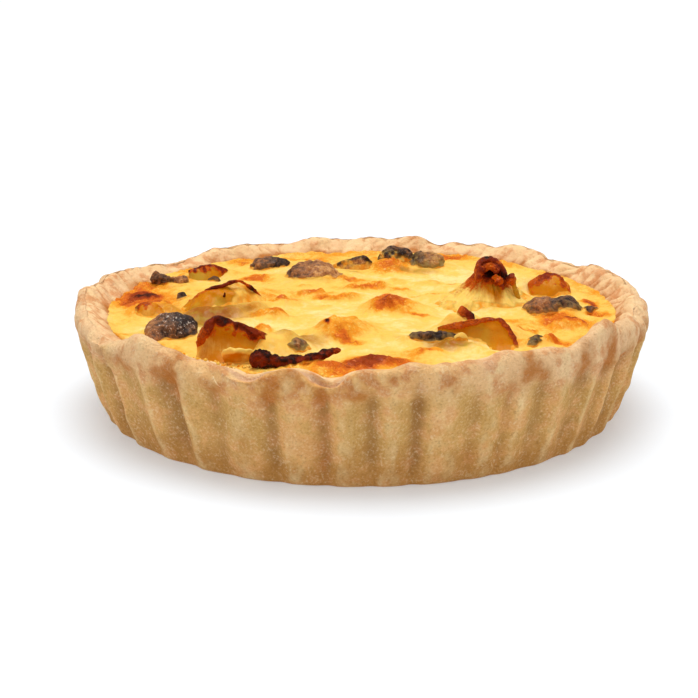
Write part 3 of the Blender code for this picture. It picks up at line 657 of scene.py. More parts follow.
turn = circle(FILLING_STEPS)
reach = FILLING_RADIUS + EDGE_REACH
rings = np.concatenate([np.linspace(0, reach, FILLING_RINGS), [reach - 0.2, HOLLOW_FLOOR_RADIUS, 0]])[:, None]
x, y = rings * np.sin(turn), -rings * np.cos(turn)
here = flat_on(x, y)
brown = browning(x, y)
runny = spread(x, y, JUICES)
grains = smoothstep(0.15, 0.6, brown) * noise(here, (0.44, 1.5, 27), (0.36, 0.9, 28))
rumples = smoothstep(0.3, 1, runny) * noise(here, (0.5, 2.4, 36), (0.24, 1.2, 37))
edge = EDGE_RISE * smoothstep(reach - EDGE_WIDTH, reach, rings)
top = filling_top(x, y) + grains + rumples + 0.11 * lumps(here, 1.3, 29) + edge
top[-3], top[-2:] = FILLING_LEVEL - 1, CASE_FLOOR
filling_mesh = skin("baked_cheese_filling", np.stack([x, y, top], axis=-1), {"brown": brown, "juice": runny})

CUSTARD_PALE = tone(248, 218, 142)
CUSTARD_YELLOW = tone(246, 196, 90)
CUSTARD_GOLD = tone(236, 152, 36)
CUSTARD_ORANGE = tone(214, 106, 22)
CUSTARD_RUST = tone(156, 60, 14)
CUSTARD_BURNT = tone(60, 20, 8)
JUICE_OLIVE = tone(170, 128, 36)
JUICE_AMBER = tone(164, 92, 4)


def browned(share, stops):
    """A colour that goes through the stops as share grows. Each stop is a share and a colour."""
    colour = stops[0][1]
    for (low, _), (high, shade) in zip(stops, stops[1:]):
        colour = share.step(low, high).blend(colour, shade)
    return colour


def clung(wire, colour, mottle):
    """The colour under custard where the film mask is high: olive where that is thin, yellow where thick."""
    cover = wire.mask("film") + (mottle - 0.5) * 0.4
    colour = (cover.step(0.2, 0.5) * 0.35).blend(colour, JUICE_OLIVE)
    yellow = (mottle + wire.grain(3) - 0.5).step(0.3, 0.7).blend(CUSTARD_YELLOW, CUSTARD_GOLD)
    return cover.step(0.4, 0.9).blend(colour, yellow)


custard, wire = start_finish("set_custard", Subsurface_Weight=0.25, Subsurface_Radius=(1, 0.55, 0.2),
                             Subsurface_Scale=MM, Specular_IOR_Level=0.08, Coat_Roughness=0.3)
broad, mottle, fine = wire.grain(9), wire.grain(1.9, 4, 0.65), wire.grain(0.7, 2, 0.6)
busy = wire.mask("brown").step(0.1, 0.7)
share = wire.mask("brown") + (broad - 0.5) * 0.35 + (mottle - 0.5) * (0.45 + busy * 0.6)
share = share + (fine - 0.5) * (0.15 + busy * 0.8) - busy * fine.step(0.52, 0.72) * 0.5
colour = browned(share, [(-0.05, CUSTARD_PALE), (0.18, CUSTARD_YELLOW), (0.44, CUSTARD_GOLD),
                         (0.76, CUSTARD_ORANGE), (1.3, CUSTARD_RUST), (2.1, CUSTARD_BURNT)])
juice = (wire.mask("juice") * (0.4 + mottle * 0.9)).step(0.1, 0.9)
colour = juice.blend(colour, (broad + mottle - 0.5).step(0.35, 0.65).blend(JUICE_AMBER, JUICE_OLIVE))
wet = wire.mask("juice").step(0.2, 0.8) * 0.1 + wire.grain(3).step(0.52, 0.7) * 0.15
wet = wet + busy * fine.step(0.6, 0.7) * 0.3
feed(custard, Base_Color=colour, Roughness=0.6 - wet, Coat_Weight=wet,
     Normal=(fine * (busy * 1.4 + 0.4) + mottle * 0.7).bump(0.24))

filling = show(filling_mesh, custard)
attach(filling, "root")
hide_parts("cheese_filling")

# Mushroom chunks
# Cooked brown mushroom cut in rough chunks, which lie half sunk in the custard, damp and granular. Each is
# a ball made boxy and uneven, with its underside squashed flat just below the custard.
CHUNK_ROWS = 80
CHUNK_COLUMNS = 120
SUNK_DEPTH = 1
FOOT_REACH = 1.6
CHUNK_FILM = 0.5

# Node, middle, half-lengths, squareness, seed, turn, lightness of left and right, granularity, wetness, and
# how olive the foot is
CHUNKS = [
    ("mushroom_chunk_left", (-39.4, -26.8), (5.1, 4.4, 4.7), 3, 41, 8, (0.6, 0.1), 0.3, 1, 0.2),
    ("mushroom_cap_back", (-11.6, 25.4), (7.4, 6, 4.3), 2.1, 42, 0, (0.48, 0.78), 0.44, 0.6, 0),
    ("mushroom_cap_back_left", (-22.8, 36.4), (5.2, 3.8, 3.1), 2.3, 43, 15, (0.5, 0.1), 0.34, 0.7, 0.3),
    ("mushroom_cap_right", (41.6, -8), (6.2, 3.7, 4.3), 2.6, 44, 12, (0.6, 0.26), 0.3, 0.8, 0.5),
    ("mushroom_lump_far", (16.4, 36), (4.4, 3.2, 4.2), 2.4, 45, -10, (0.24, 0.74), 0.44, 0.5, 1.2),
    ("mushroom_slice_front", (14.6, -30.4), (5.6, 1.3, 2.7), 3, 46, 6, (0.22, 0.02), 0.36, 0.6, 0.5),
    ("mushroom_bit_sunk", (-12.6, -37.2), (3, 1.9, 2.9), 2.2, 47, 10, (0.4, 0.6), 0.36, 0.9, 1),
    ("mushroom_bit_rim", (35.2, -32.4), (3, 1.5, 2.1), 2.2, 48, 36, (0.3, 0.1), 0.34, 0.4, 0.6),
    ("mushroom_bit_left", (-40.6, 4.4), (1.5, 1.2, 2.2), 2, 49, 0, (0.2, 0.16), 0.22, 0.4, 0.3),
    ("mushroom_bit_back_left", (-35.2, 22.6), (1.7, 1.3, 1.9), 2, 50, 0, (0.28, 0.28), 0.18, 0.3, 0.3)]

MUSHROOM_BLACK = tone(44, 26, 18)
MUSHROOM_GREY = tone(104, 70, 46)
MUSHROOM_BROWN = tone(164, 104, 58)
MUSHROOM_TAN = tone(216, 156, 92)
MUSHROOM_OLIVE = tone(156, 128, 70)
MUSHROOM_GLINT = tone(226, 214, 200)


def ball(rows, columns):
    """A ball of radius 1. The first parameter runs from its top to its bottom and the second goes round."""
    down, around = np.linspace(0, np.pi, rows)[:, None], circle(columns)
    return np.stack([np.sin(down) * np.cos(around), np.sin(down) * np.sin(around),
                     np.cos(down) + 0 * around], axis=-1)


def chunk_points(middle, half, squareness, seed, angle, granules):
    """A ball pushed out to |x|^n + |y|^n + |z|^n = 1, which is boxier the greater the squareness n is.

    It is then stretched by its half-lengths times 1 plus noise, and granules are raised on it."""
    way = ball(CHUNK_ROWS, CHUNK_COLUMNS)
    boxy = (np.abs(way) ** squareness).sum(-1) ** (-1 / squareness)
    swell = 1 + noise(way + 9, (0.15, 0.7, seed), (0.08, 0.34, seed + 20))
    body = way * (boxy * swell)[..., None] * np.array(half)
    rough = noise(body + 40, (0.7, 0.8, seed + 40), (0.6, 1.7, seed + 60))
    body = body + way * (granules * rough)[..., None]
    x, y = turned(body[..., 0], body[..., 1], angle)
    z = FILLING_LEVEL + np.maximum(body[..., 2], -SUNK_DEPTH)
    return np.stack([middle[0] + x, middle[1] + y, z], axis=-1), way, rough


mushroom, wire = start_finish("cooked_mushroom", Specular_IOR_Level=0.2, Coat_Roughness=0.12)
mottle, fine = wire.grain(1.1, 3, 0.6), wire.grain(0.4, 2, 0.6)
share = wire.mask("light") + (mottle - 0.5) * 1.1 + (fine - 0.5) * 0.8
colour = browned(share, [(0, MUSHROOM_BLACK), (0.34, MUSHROOM_GREY), (0.66, MUSHROOM_BROWN),
                         (1, MUSHROOM_TAN)])
colour = (wire.mask("olive") + (mottle - 0.5) * 0.6).step(0.15, 0.85).blend(colour, MUSHROOM_OLIVE)
colour = clung(wire, colour, mottle)
wet = wire.mask("wet")
colour = ((fine * 0.6 + mottle * 0.4) * wet).step(0.56, 0.66).blend(colour, MUSHROOM_GLINT)
gloss = 0.62 - wet * 0.2 + (fine - 0.5) * 0.3
feed(mushroom, Base_Color=colour, Roughness=gloss, Coat_Weight=wet * 0.12,
     Normal=(fine + mottle * 1.2).bump(0.34))

for node, middle, half, squareness, seed, angle, (left, right), granules, wetness, olive in CHUNKS:
    points, way, rough = chunk_points(middle, half, squareness, seed, angle, granules)
    light = left + (right - left) * smoothstep(-0.7, 0.5, way[..., 0]) + 0.3 * rough
    foot = film(points, FOOT_REACH, seed + 80)
    masks = {"light": light, "wet": wetness * (1 - foot), "olive": olive * (0.3 + 0.7 * foot),
             "film": film(points, CHUNK_FILM, seed + 80)}
    piece = show(skin("cooked_" + node, points, masks), mushroom)
    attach(piece, "root")
    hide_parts(node)

# Mushroom slices
# Thin slices cut across a cap, standing in the custard at the back, browned along their upper edge. Each is
# a sheet lofted from a foot line to a lip line and given a thickness that dies away at its edges.
SHEET_ACROSS = 130
SHEET_UP = 56
LIP_CROWDING = 1.4
END_POWER = 8
LIP_POWER = 7
SUNK_FOOT = 19
SLICE_WETNESS = 0.35

# Node, bulge, foot as x and y, lip as x, y and z, thickness, bead, crusty band, reach of the custard on it
SLICES = [
    ("mushroom_slice_back", (0, -0.8, 0), [(-6.8, 34.6), (-2, 34), (3.2, 34.4)],
     [(-6.9, 35.6, 22.4), (-2.4, 35.6, 23.8), (0.6, 35.6, 24.6), (2.9, 35.2, 23.2)], 1.2, 0.9, 0.14, 3.8),
    ("mushroom_slice_far", (0, -1, 0), [(4.2, 38.4), (8.2, 37.6), (13, 38)],
     [(4.4, 39.2, 23.6), (7, 39.6, 25.6), (11, 39, 25.8), (13.8, 37.6, 23.8)], 1.7, 1.3, 0.34, 1.6)]


def sunk(places):
    """A line of places x, y at the depth where a sheet's foot lies in the custard."""
    return [(x, y, SUNK_FOOT) for x, y in places]


def sheet_points(foot, lip, bulge, thickness, seed, wrinkle=0.3, bead=0, band=0.1):
    """A sheet lofted from a foot line to a lip line: foot + (lip - foot) v + sin(pi v) (0.4 + 0.6 sin(pi u))
    times the bulge.

    It is wrinkled by noise and moved both ways along its normal by half its thickness, which dies away at
    the lip and at both ends. A bead of crust, as wide as band, swells it just below the lip by a share of the
    thickness and is rough. Columns run up one side and down the other."""
    u = np.linspace(0, 1, SHEET_ACROSS)
    v = 1 - (1 - np.linspace(0, 1, SHEET_UP)) ** LIP_CROWDING
    low, high_line = through(foot, u)[:, None, :], through(lip, u)[:, None, :]
    cup = np.sin(np.pi * v)[:, None] * (0.4 + 0.6 * np.sin(np.pi * u))[:, None, None]
    middle = low + (high_line - low) * v[:, None] + cup * np.array(bulge)
    along, up = np.gradient(middle, axis=0), np.gradient(middle, axis=1)
    normal = unit(np.cross(along, up))
    bend = wrinkle * noise(middle + 80, (1, 3.6, seed), (0.5, 1.7, seed + 1))
    ragged = noise(middle + 80, (0.35, 2.2, seed + 2), (0.25, 0.9, seed + 4)) * v**4
    middle = middle + normal * bend[..., None] + unit(up) * ragged[..., None]
    ends, edge = rounded(2 * u - 1, END_POWER)[:, None], rounded(v, LIP_POWER)
    crusty = bead * bell(v - 1 + 0.8 * band, band)
    sides = []
    for side, way in ((60, 1), (70, -1)):
        rough = 1 + noise(middle + side, (0.7, 1.5, seed + 3), (0.6, 0.75, seed + 5))
        half = 0.5 * thickness * ends * edge * (1 + crusty * rough)
        half = half + 0.2 * crusty * lumps(middle + side, 0.55, seed + 6)
        sides.append(middle + way * normal * half[..., None])
    points = np.concatenate([sides[0], sides[1][:, ::-1]], axis=1)
    return points, u[:, None], np.concatenate([v, v[::-1]])


for seed, (node, bulge, foot, lip, thickness, bead, band, cling) in enumerate(SLICES, start=71):
    points, u, v = sheet_points(sunk(foot), lip, bulge, thickness, 10 * seed, bead=bead, band=band)
    light = 0.6 - 0.46 * smoothstep(1 - 2 * band, 1 - band, v) + 0.4 * lumps(points, 2, seed)
    masks = {"light": light, "wet": SLICE_WETNESS, "olive": 0.6 * film(points, 2.4, seed),
             "film": film(points, cling, seed)}
    piece = show(skin("cooked_" + node, points, masks), mushroom)
    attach(piece, "root")
    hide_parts(node)

# Onion layers
# Layers of onion cooked soft and amber, which stand out of the custard with their lips burnt dark. They are
# made as the mushroom slices are, thinner, with a bead along the burnt lip.
ONION_THICKNESS = 1.3

# Node, bulge, foot, lip, burn and tint at the start, middle and end of the lip, burnt band, bead, reach of
# the custard that clings to it, wrinkles, and 1 where custard covers its end. A tint of -1 is olive, of 0
# amber and of 1 pale
LAYERS = [
    ("onion_petal_front_left", (0, 2.6, -0.6),
     [(-33, -39.5), (-30, -44), (-24, -45.5), (-18.5, -41), (-13.6, -36.6)],
     [(-31.8, -42.4, 25), (-29.4, -40.2, 29), (-26.4, -39.4, 28.6), (-20.4, -36.8, 25.6),
      (-14.6, -34.6, 21.6)], (0.5, 1.25, 0.5), (0.9, -0.1, -0.6), 0.3, 1.2, 0.5, 0.3, 0),
    ("onion_petal_left", (0, -1.4, 0.4),
     [(-40.6, -5), (-36, -9.4), (-30, -8.8), (-24.6, -4.8), (-20.4, 2.2)],
     [(-38.4, -2.6, 23.4), (-33.8, -3.6, 25.8), (-30.6, -2, 25.9), (-27.4, 1, 26.2), (-20.2, 3.4, 21.4)],
     (0.35, 0.2, 0), (-0.3, -0.4, 1.2), 0.2, 0.4, 0.8, 0.9, 1),
    ("onion_scrap_left", (0, -0.6, 0.4), [(-48.8, -10), (-45.2, -10.6), (-41.8, -10)],
     [(-49.6, -6.6, 22), (-47.2, -6.2, 23.2), (-43.2, -7, 22)], (0.8, 0.7, 0.2), (0.2, 0, 0.3), 0.3, 0.5,
     1.2, 0.3, 0),
    ("onion_band_back_left", (0, -0.8, 0.4), [(-40.8, 22.8), (-37.2, 24.2), (-33.2, 28.8)],
     [(-41.8, 25.8, 22.9), (-38.4, 28, 23.7), (-35.2, 29.6, 23), (-32.4, 31.4, 21.4)], (1.6, 1, 0.8),
     (-0.9, -0.7, -0.1), 0.42, 0.8, 0.4, 0.3, 0),
    ("onion_petal_front_right", (0, 2, 0.4),
     [(16.2, -27.4), (20.6, -28.8), (24.4, -33.4), (28.4, -36.8), (31.9, -36.4)],
     [(15.8, -26.6, 23), (21, -27.6, 24.5), (25.4, -29.2, 25.8), (28.6, -31.6, 26), (31.6, -35, 21.5)],
     (0.45, 0.65, 0.75), (-0.7, -0.55, 0.3), 0.17, 0.8, 0.8, 0.5, 0),
    ("onion_tip_front_right", (0, -0.3, 0), [(18, -24), (21, -24.2), (24.6, -23.6)],
     [(19.4, -23.4, 24), (21, -23.2, 26.7), (23.6, -23.4, 25)], (0.45, 0.5, 1.3), (0, 0, 0), 0.95, 0.5, 0.5,
     0.3, 0),
    ("onion_petal_right", (0, -1.6, 0.8), [(38.8, 9), (43.4, 7), (48.4, 9.6)],
     [(39, 13.4, 22.8), (42.4, 14, 24.8), (45.6, 13.4, 24.8), (48.4, 11.6, 21.6)], (0.35, 0.9, 0.6),
     (0.1, -0.1, 0), 0.5, 0.6, 1, 0.3, 0)]

ONION_AMBER = tone(204, 122, 0)
ONION_PALE = tone(246, 206, 104)
ONION_OLIVE = tone(192, 148, 44)
BURN_ORANGE = tone(216, 96, 16)
BURN_RED = tone(136, 43, 12)
BURN_BLACK = tone(46, 17, 10)

# Shares of the lip's length at which a layer's burns and tints hold
LIP_STOPS = (0, 0.45, 1)

onion, wire = start_finish("amber_onion", Subsurface_Weight=0.1, Subsurface_Radius=(1, 0.5, 0.1),
                           Subsurface_Scale=0.8 * MM, Specular_IOR_Level=0.05, Coat_Roughness=0.2)
mottle, fine = wire.grain(1.6, 4, 0.65), wire.grain(0.45, 3, 0.7)
streak = wire.grain(1, 2, 0.5, stretch=(0.4, 0.9, 4))
tint = wire.mask("tint") + (mottle - 0.5) * 0.7 + (streak - 0.5) * 0.4
colour = tint.step(0, 1).blend(ONION_AMBER, ONION_PALE)
colour = tint.step(-0.1, -1).blend(colour, ONION_OLIVE)
burn = wire.mask("burn") + (mottle - 0.5) * 0.6 + (fine - 0.5) * 0.7
colour = burn.step(0.08, 0.36).blend(colour, BURN_ORANGE)
colour = burn.step(0.45, 0.85).blend(colour, BURN_RED)
colour = burn.step(0.85, 1.35).blend(colour, BURN_BLACK)
colour = clung(wire, colour, mottle)
gloss = 0.26 + burn.step(0.4, 0.9) * 0.24 + (mottle - 0.5) * 0.3
rough = fine * (burn.step(0.1, 0.7) * 1.6 + 0.3)
glint = fine.step(0.56, 0.66) * burn.step(0.3, 0.8) * 0.3 + 0.05
feed(onion, Base_Color=colour, Roughness=gloss, Coat_Weight=glint,
     Normal=(rough + streak * 0.3 + mottle * 0.6).bump(0.26))

for seed, layer in enumerate(LAYERS, start=81):
    node, bulge, foot, lip, burns, tints, band, bead, cling, wrinkle, covered = layer
    points, u, v = sheet_points(sunk(foot), lip, bulge, ONION_THICKNESS, 10 * seed, wrinkle, bead, 0.4 * band)
    jitter = band * noise(points, (0.5, 1.8, seed), (0.3, 0.8, seed + 20))
    burn = np.interp(u, LIP_STOPS, burns) * smoothstep(1 - band, 1 - 0.3 * band, v + jitter)
    far_end = smoothstep(0.56, 0.68, u + 0.08 * lumps(points, 2, seed + 60))
    under = covered * far_end * smoothstep(0.25, 0.45, v)
    masks = {"burn": burn * (1 - under),
             "tint": np.interp(u, LIP_STOPS, tints) + 0.5 * lumps(points, 2.6, seed + 40),
             "film": np.maximum(film(points, cling, seed), under)}
    piece = show(skin("cooked_" + node, points, masks), onion)
    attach(piece, "root")
    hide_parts(node)

# Tall heap of onion
# Several layers pinched up together under the custard skin: a tent with folds down its flanks, pale at the
# foot and burnt at the top. The section is carried round an oval, and its folds are cosine waves.
HEAP_MIDDLE = (28.4, 1.4)
HEAP_HALF = (10.2, 8)
HEAP_ROWS = 70
HEAP_COLUMNS = 220

# The tent's section from its top to its foot: share of the half-lengths, height
HEAP_SECTION = [
    (0, 29.2), (0.2, 28.8), (0.34, 27.6), (0.5, 25.8), (0.72, 24), (1, 22.3), (1.24, 20.4), (1.3, 19.4)]

# Millimetres that a half-length counts for where the section is divided evenly
HEAP_SPACING = 10

# Folds down the flanks: how many, depth, lead, and twist from the top outwards
HEAP_FOLDS = [(7, 0.05, 0.6, 0), (15, 0.04, 0, 5), (31, 0.03, 0, 0)]

# An amber patch on the front flank: x, height, half-width, half-height
PALE_PATCH = (30, 25.1, 1.7, 1.1)

share, level = evenly([(HEAP_SPACING * s, z) for s, z in HEAP_SECTION], HEAP_ROWS).T[:, :, None]
share = np.concatenate([share / HEAP_SPACING, [[0]]])
level = np.concatenate([level, [[SUNK_FOOT]]])
around = circle(HEAP_COLUMNS)
on_flank = smoothstep(0.08, 0.4, share)
folds = sum(depth * np.cos(count * around + lead + twist * share) for count, depth, lead, twist in HEAP_FOLDS)
folds = folds + 0.12 * np.cos(3 * around + 1) * share
flare = share * (1 + on_flank * folds)
x = HEAP_MIDDLE[0] + HEAP_HALF[0] * flare * np.cos(around)
y = HEAP_MIDDLE[1] + HEAP_HALF[1] * flare * np.sin(around)
heap_points = np.stack([x, y, level + 0 * around], axis=-1)
heap_points[..., 2] += on_flank * noise(heap_points, (0.35, 2.6, 91), (0.16, 1.2, 92))
rightward = np.cos(around)
right_side = 0.45 + 0.55 * smoothstep(-0.8, 0.1, rightward)
scorch = level + noise(heap_points, (1.4, 2.4, 93), (0.7, 1, 95))
ridges = smoothstep(0, 0.1, folds) * smoothstep(21, 25, level) * smoothstep(0.3, -0.6, rightward)
burn = right_side * smoothstep(25.4, 28.4, scorch) + 0.12 * ridges
burn = burn + 0.25 * smoothstep(24.2, 26.2, level + 1.6 * lumps(heap_points, 1.8, 96))
pale_x, pale_z, pale_across, pale_up = PALE_PATCH
patch = bell(np.hypot((x - pale_x) / pale_across, (level - pale_z) / pale_up), 1) * (np.sin(around) < 0)
tint = 1 - 0.9 * smoothstep(24.2, 26.4, level) + 0.5 * smoothstep(-0.2, -0.9, rightward)
# The folds' crests are paler and their hollows darker: partly the onion's own streaks, partly painted
# highlight and painted shade on the folds.
tint = tint + 0.5 * lumps(heap_points, 2.2, 94) + 2.2 * folds - 1.1 * patch - 0.6 * ridges
heap_masks = {"burn": burn * (1 - 0.8 * patch), "tint": tint, "film": film(heap_points, 1.5, 99)}
heap = show(skin("cooked_onion_folds_tall", heap_points, heap_masks), onion)
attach(heap, "root")
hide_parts("onion_folds_tall")

# Hood on the heap
# One burnt layer curled forward over the heap's top, with burnt strands in its mouth round a dark hole.
HOOD_FOOT = [(25.8, -1, 26), (26.4, 3.2, 26.6), (28.8, 4.6, 27), (31, 3, 26.6), (31.6, -0.8, 25.8)]
HOOD_LIP = [(26, -2.8, 28), (26.8, -1.6, 30.4), (28.8, -1, 31.3), (30.7, -1.2, 30.2), (31.6, -2, 27.4)]
HOOD_TOP = 32.4
HOOD_BULGE = (0, 0.8, 0.9)
points, u, v = sheet_points(HOOD_FOOT, HOOD_LIP, HOOD_BULGE, ONION_THICKNESS, seed=960, wrinkle=0.45,
                            bead=0.7, band=0.3)
points[..., 2] = np.minimum(points[..., 2], HOOD_TOP)
burn = 0.15 + 0.45 * smoothstep(0.3, 0.9, v) + 0.6 * u + noise(points, (0.4, 2.4, 97), (0.3, 1, 98))
hood = show(skin("cooked_onion_hood_tall", points, {"burn": burn, "tint": 0, "film": 0}), onion)
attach(hood, "root")
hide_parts("onion_hood_tall")

# Strips, tails and curls
# Thin strips of onion and mushroom that dried and burnt as they baked. Each is a rough tube along a bent
# path, whose radius is set along it.
STRIP_ROWS = 130
STRIP_COLUMNS = 40
TIP_POWER = 14
STRIP_WETNESS = 0.3

# Name, points, radii, burn at the start and the end, tint, seed. A strip named as one of the frame's nodes
# replaces it
BURNT_STRIPS = [
    ("burnt_strip_front",
     [(-21.2, -49, 23.2), (-18.6, -49.4, 23), (-15.4, -49.4, 22.5), (-12.4, -48.8, 22.3),
      (-9.2, -47.8, 22.9), (-6.4, -46.6, 23.5), (-3.8, -45.4, 23.9)], (2, 1.6, 1.3, 1.2, 1.1, 0.9, 0.8),
     (1.3, 1.05), -0.6, 101),
    ("burnt_curl_tall",
     [(35, -2.6, 22.4), (34.6, -2.4, 24.4), (34, -2.2, 26.2), (33.3, -2.1, 27.6), (32.6, -2, 28.4)],
     (0.4, 0.5, 0.45, 1.15, 0.7), (-1.3, 1.25), -0.6, 102),
    ("strand_left", [(27, -1.8, 30.4), (26.3, -2.4, 28.9), (25.6, -2.9, 27.2)], (0.7, 0.8, 0.6), (0.8, 0.6),
     0.2, 105),
    ("strand_inner", [(27.2, -1.2, 29.4), (28.8, -1.2, 30.2), (30.6, -1.8, 29)], (0.8, 0.9, 0.9),
     (0.6, 0.66), 0.4, 106),
    ("strand_right", [(29.6, -2, 28.4), (30.4, -2.6, 27.4), (31.4, -2.8, 26.6)], (0.9, 0.9, 0.7),
     (0.75, 0.65), 0.2, 107),
    ("strand_hook", [(30.2, -2.4, 27.2), (31, -2.9, 26.4), (31.6, -3.4, 25.4)], (0.5, 0.55, 0.3), (0.9, 0.6),
     0.2, 109),
    ("arch_left",
     [(-34.6, -3.8, 25.4), (-32.6, -3.6, 25.9), (-30.3, -3.2, 26.4), (-28.6, -2.6, 27), (-26.8, -2, 27),
      (-25.2, -1, 25.8), (-23.5, 0.5, 24), (-22.1, 2, 22.2)], (0.3, 0.4, 0.4, 0.42, 0.42, 0.38, 0.34, 0.22),
     (0.7, 0.7), 0, 110),
    ("spike_left", [(-30.4, -5.4, 23.8), (-30, -5.9, 24.8), (-29.9, -6, 25.5)], (0.3, 0.25, 0.2), (0.9, 1.2),
     0, 108)]

# Node, points, radii, seed
MUSHROOM_STRIPS = [
    ("mushroom_strip_left", [(-49.6, 20.8, 22.2), (-47, 19.6, 22.2), (-44.2, 19.2, 21.7), (-41, 19.8, 22.1)],
     (1.7, 1.2, 1.1, 1.6), 103),
    ("mushroom_tail_right", [(49, -7.6, 21.6), (51, -6.6, 21.7), (53, -5.2, 21.2)], (1.1, 0.8, 0.5), 104)]


def strip_points(points, radii, seed):
    """A tube, path(s) + radius(s) (cos a side + sin a up), rounded off at both ends and roughened."""
    s = 0.5 - 0.5 * np.cos(np.linspace(0, np.pi, STRIP_ROWS))
    path = through(points, s)
    radius = through(np.array(radii)[:, None], s) * rounded(2 * s - 1, TIP_POWER)[:, None]
    run = unit(np.gradient(path, axis=0))
    side = unit(np.cross(run, (0, -0.6, 0.8)))
    up = np.cross(side, run)
    around = circle(STRIP_COLUMNS)[:, None]
    ring = np.cos(around) * side[:, None] + np.sin(around) * up[:, None]
    tube = path[:, None] + ring * radius[:, None]
    rough = noise(tube + 60, (0.4, 1.7, seed), (0.3, 0.8, seed + 10), (0.2, 0.45, seed + 30))
    return tube + ring * (radius[:, None] * rough[..., None]), s[:, None], rough


for node, path, radii, char, tint, seed in BURNT_STRIPS:
    points, s, rough = strip_points(path, radii, seed)
    burn = np.interp(s, (0, 1), char) + 0.9 * rough + 0.3 * lumps(points, 2.4, seed + 20)
    masks = {"burn": burn, "tint": tint, "film": 0.8 * film(points, 0.6, seed)}
    piece = show(skin("cooked_" + node, points, masks), onion)
    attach(piece, "root")
    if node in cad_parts:
        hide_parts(node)
for node, path, radii, seed in MUSHROOM_STRIPS:
    points, s, rough = strip_points(path, radii, seed)
    light = 0.25 + 0.35 * smoothstep(0.2, 0.8, s) + 0.5 * rough
    masks = {"light": light, "wet": STRIP_WETNESS, "olive": 0.4 * film(points, FOOT_REACH, seed),
             "film": film(points, 0.7, seed)}
    piece = show(skin("cooked_" + node, points, masks), mushroom)
    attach(piece, "root")
    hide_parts(node)

# Scraps and curds
# Pale torn scraps of onion in front of the larger layers, made as sheets, and crumbs of curd where the
# custard broke against the crust and on its mounds. The crumbs are one mesh of uneven balls.
SCRAP_THICKNESS = 1.1
SCRAP_BULGE = (0, 0.3, 0)

# Name, foot, lip, tint, seed
SCRAPS = [
    ("scrap_front_left", [(-25.8, -44.2), (-22.8, -45.4), (-19.4, -44)],
     [(-26.8, -43.6, 22.6), (-26.2, -44.4, 23.9), (-23.9, -45, 24.3), (-21.9, -45, 23.9),
      (-19.6, -44.6, 22.9), (-18.4, -44, 21.6)], 0.1, 111),
    ("scrap_front_right", [(19, -31.2), (20.2, -31.6), (21.6, -31.2)],
     [(19, -30.8, 22.6), (20, -31, 23.7), (20.9, -30.9, 23.4), (21.7, -30.7, 22.4)], 0.6, 112)]
for name, foot, lip, tint, seed in SCRAPS:
    points, u, v = sheet_points(sunk(foot), lip, SCRAP_BULGE, SCRAP_THICKNESS, 10 * seed, wrinkle=0.9)
    tints = tint + 1.4 * smoothstep(0.75, 0.95, v) + 0.9 * lumps(points, 1.4, seed)
    masks = {"burn": 0, "tint": tints, "film": film(points, 0.8, seed)}
    piece = show(skin("pale_" + name, points, masks), onion)
    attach(piece, "root")

# Crumbs on the custard: x, y, spread across and deep, how many
CURD_SPOTS = [(-31.6, -45.2, 3, 1.2, 90), (-26, -48.6, 3, 0.8, 50), (-8, -54.4, 3.6, 0.6, 40)]
CURD_RADIUS = (0.14, 0.38)
CURD_ROWS, CURD_COLUMNS = 7, 9

# How far out crumbs lie, and the height and steepness of the rim's inner slope at the custard's edge
CURD_REACH = 57.4
SLOPE_FOOT, SLOPE_RISE = 20.9, 0.88

# Crumbs on the rim's inner slope: middle bearing and spread in degrees, lowest and highest, how many
SLOPE_CRUMBS = (-29.5, 3.6, 21.6, 24, 90)


def on_crust(bearing, level, rows):
    """The case's own points at the bearings, where those rows of its section come nearest to the levels."""
    column = np.round((np.asarray(bearing) + 180) / 360 * CASE_COLUMNS).astype(int) % CASE_COLUMNS
    row = np.argmin(np.abs(case_points[rows][:, column, 2] - level), axis=0)
    return case_points[rows][row, column]


draw = np.random.default_rng(17)
spots = np.repeat([spot[:4] for spot in CURD_SPOTS], [spot[4] for spot in CURD_SPOTS], axis=0)
places = spots[:, :2] + spots[:, 2:] * draw.normal(0, 1, (len(spots), 2))
places *= np.minimum(1, CURD_REACH / np.linalg.norm(places, axis=1))[:, None]
on_slope = SLOPE_FOOT + SLOPE_RISE * (np.linalg.norm(places, axis=1) - FILLING_RADIUS)
slope_bearing = draw.normal(*SLOPE_CRUMBS[:2], SLOPE_CRUMBS[4])
slope_places = on_crust(slope_bearing, draw.uniform(*SLOPE_CRUMBS[2:]), slice(2, top_row))
crumbs = len(spots) + len(slope_places)
size = draw.uniform(*CURD_RADIUS, crumbs)[:, None, None]
way = ball(CURD_ROWS, CURD_COLUMNS)[None]
level = np.maximum(filling_top(places[:, 0], places[:, 1]), on_slope) + 0.1
middle = np.concatenate([np.column_stack([places, level]), slope_places])[:, None, None, :]
uneven = 1 + 0.45 * lumps(way + 3.1 * np.arange(crumbs)[:, None, None, None], 0.9, 18)
curd_points = middle + way * (size * uneven)[..., None]
curd_brown = np.broadcast_to(draw.uniform(0, 0.5, crumbs)[:, None, None], curd_points.shape[:-1])
curds = show(skin("curd_crumbs", curd_points, {"brown": curd_brown, "juice": 0}), custard)
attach(curds, "root")

# Threads of dough
# Thin pale threads of dough stuck to the outside of the crust at the left front, made as the strips are.
THREAD_RADIUS = 0.12

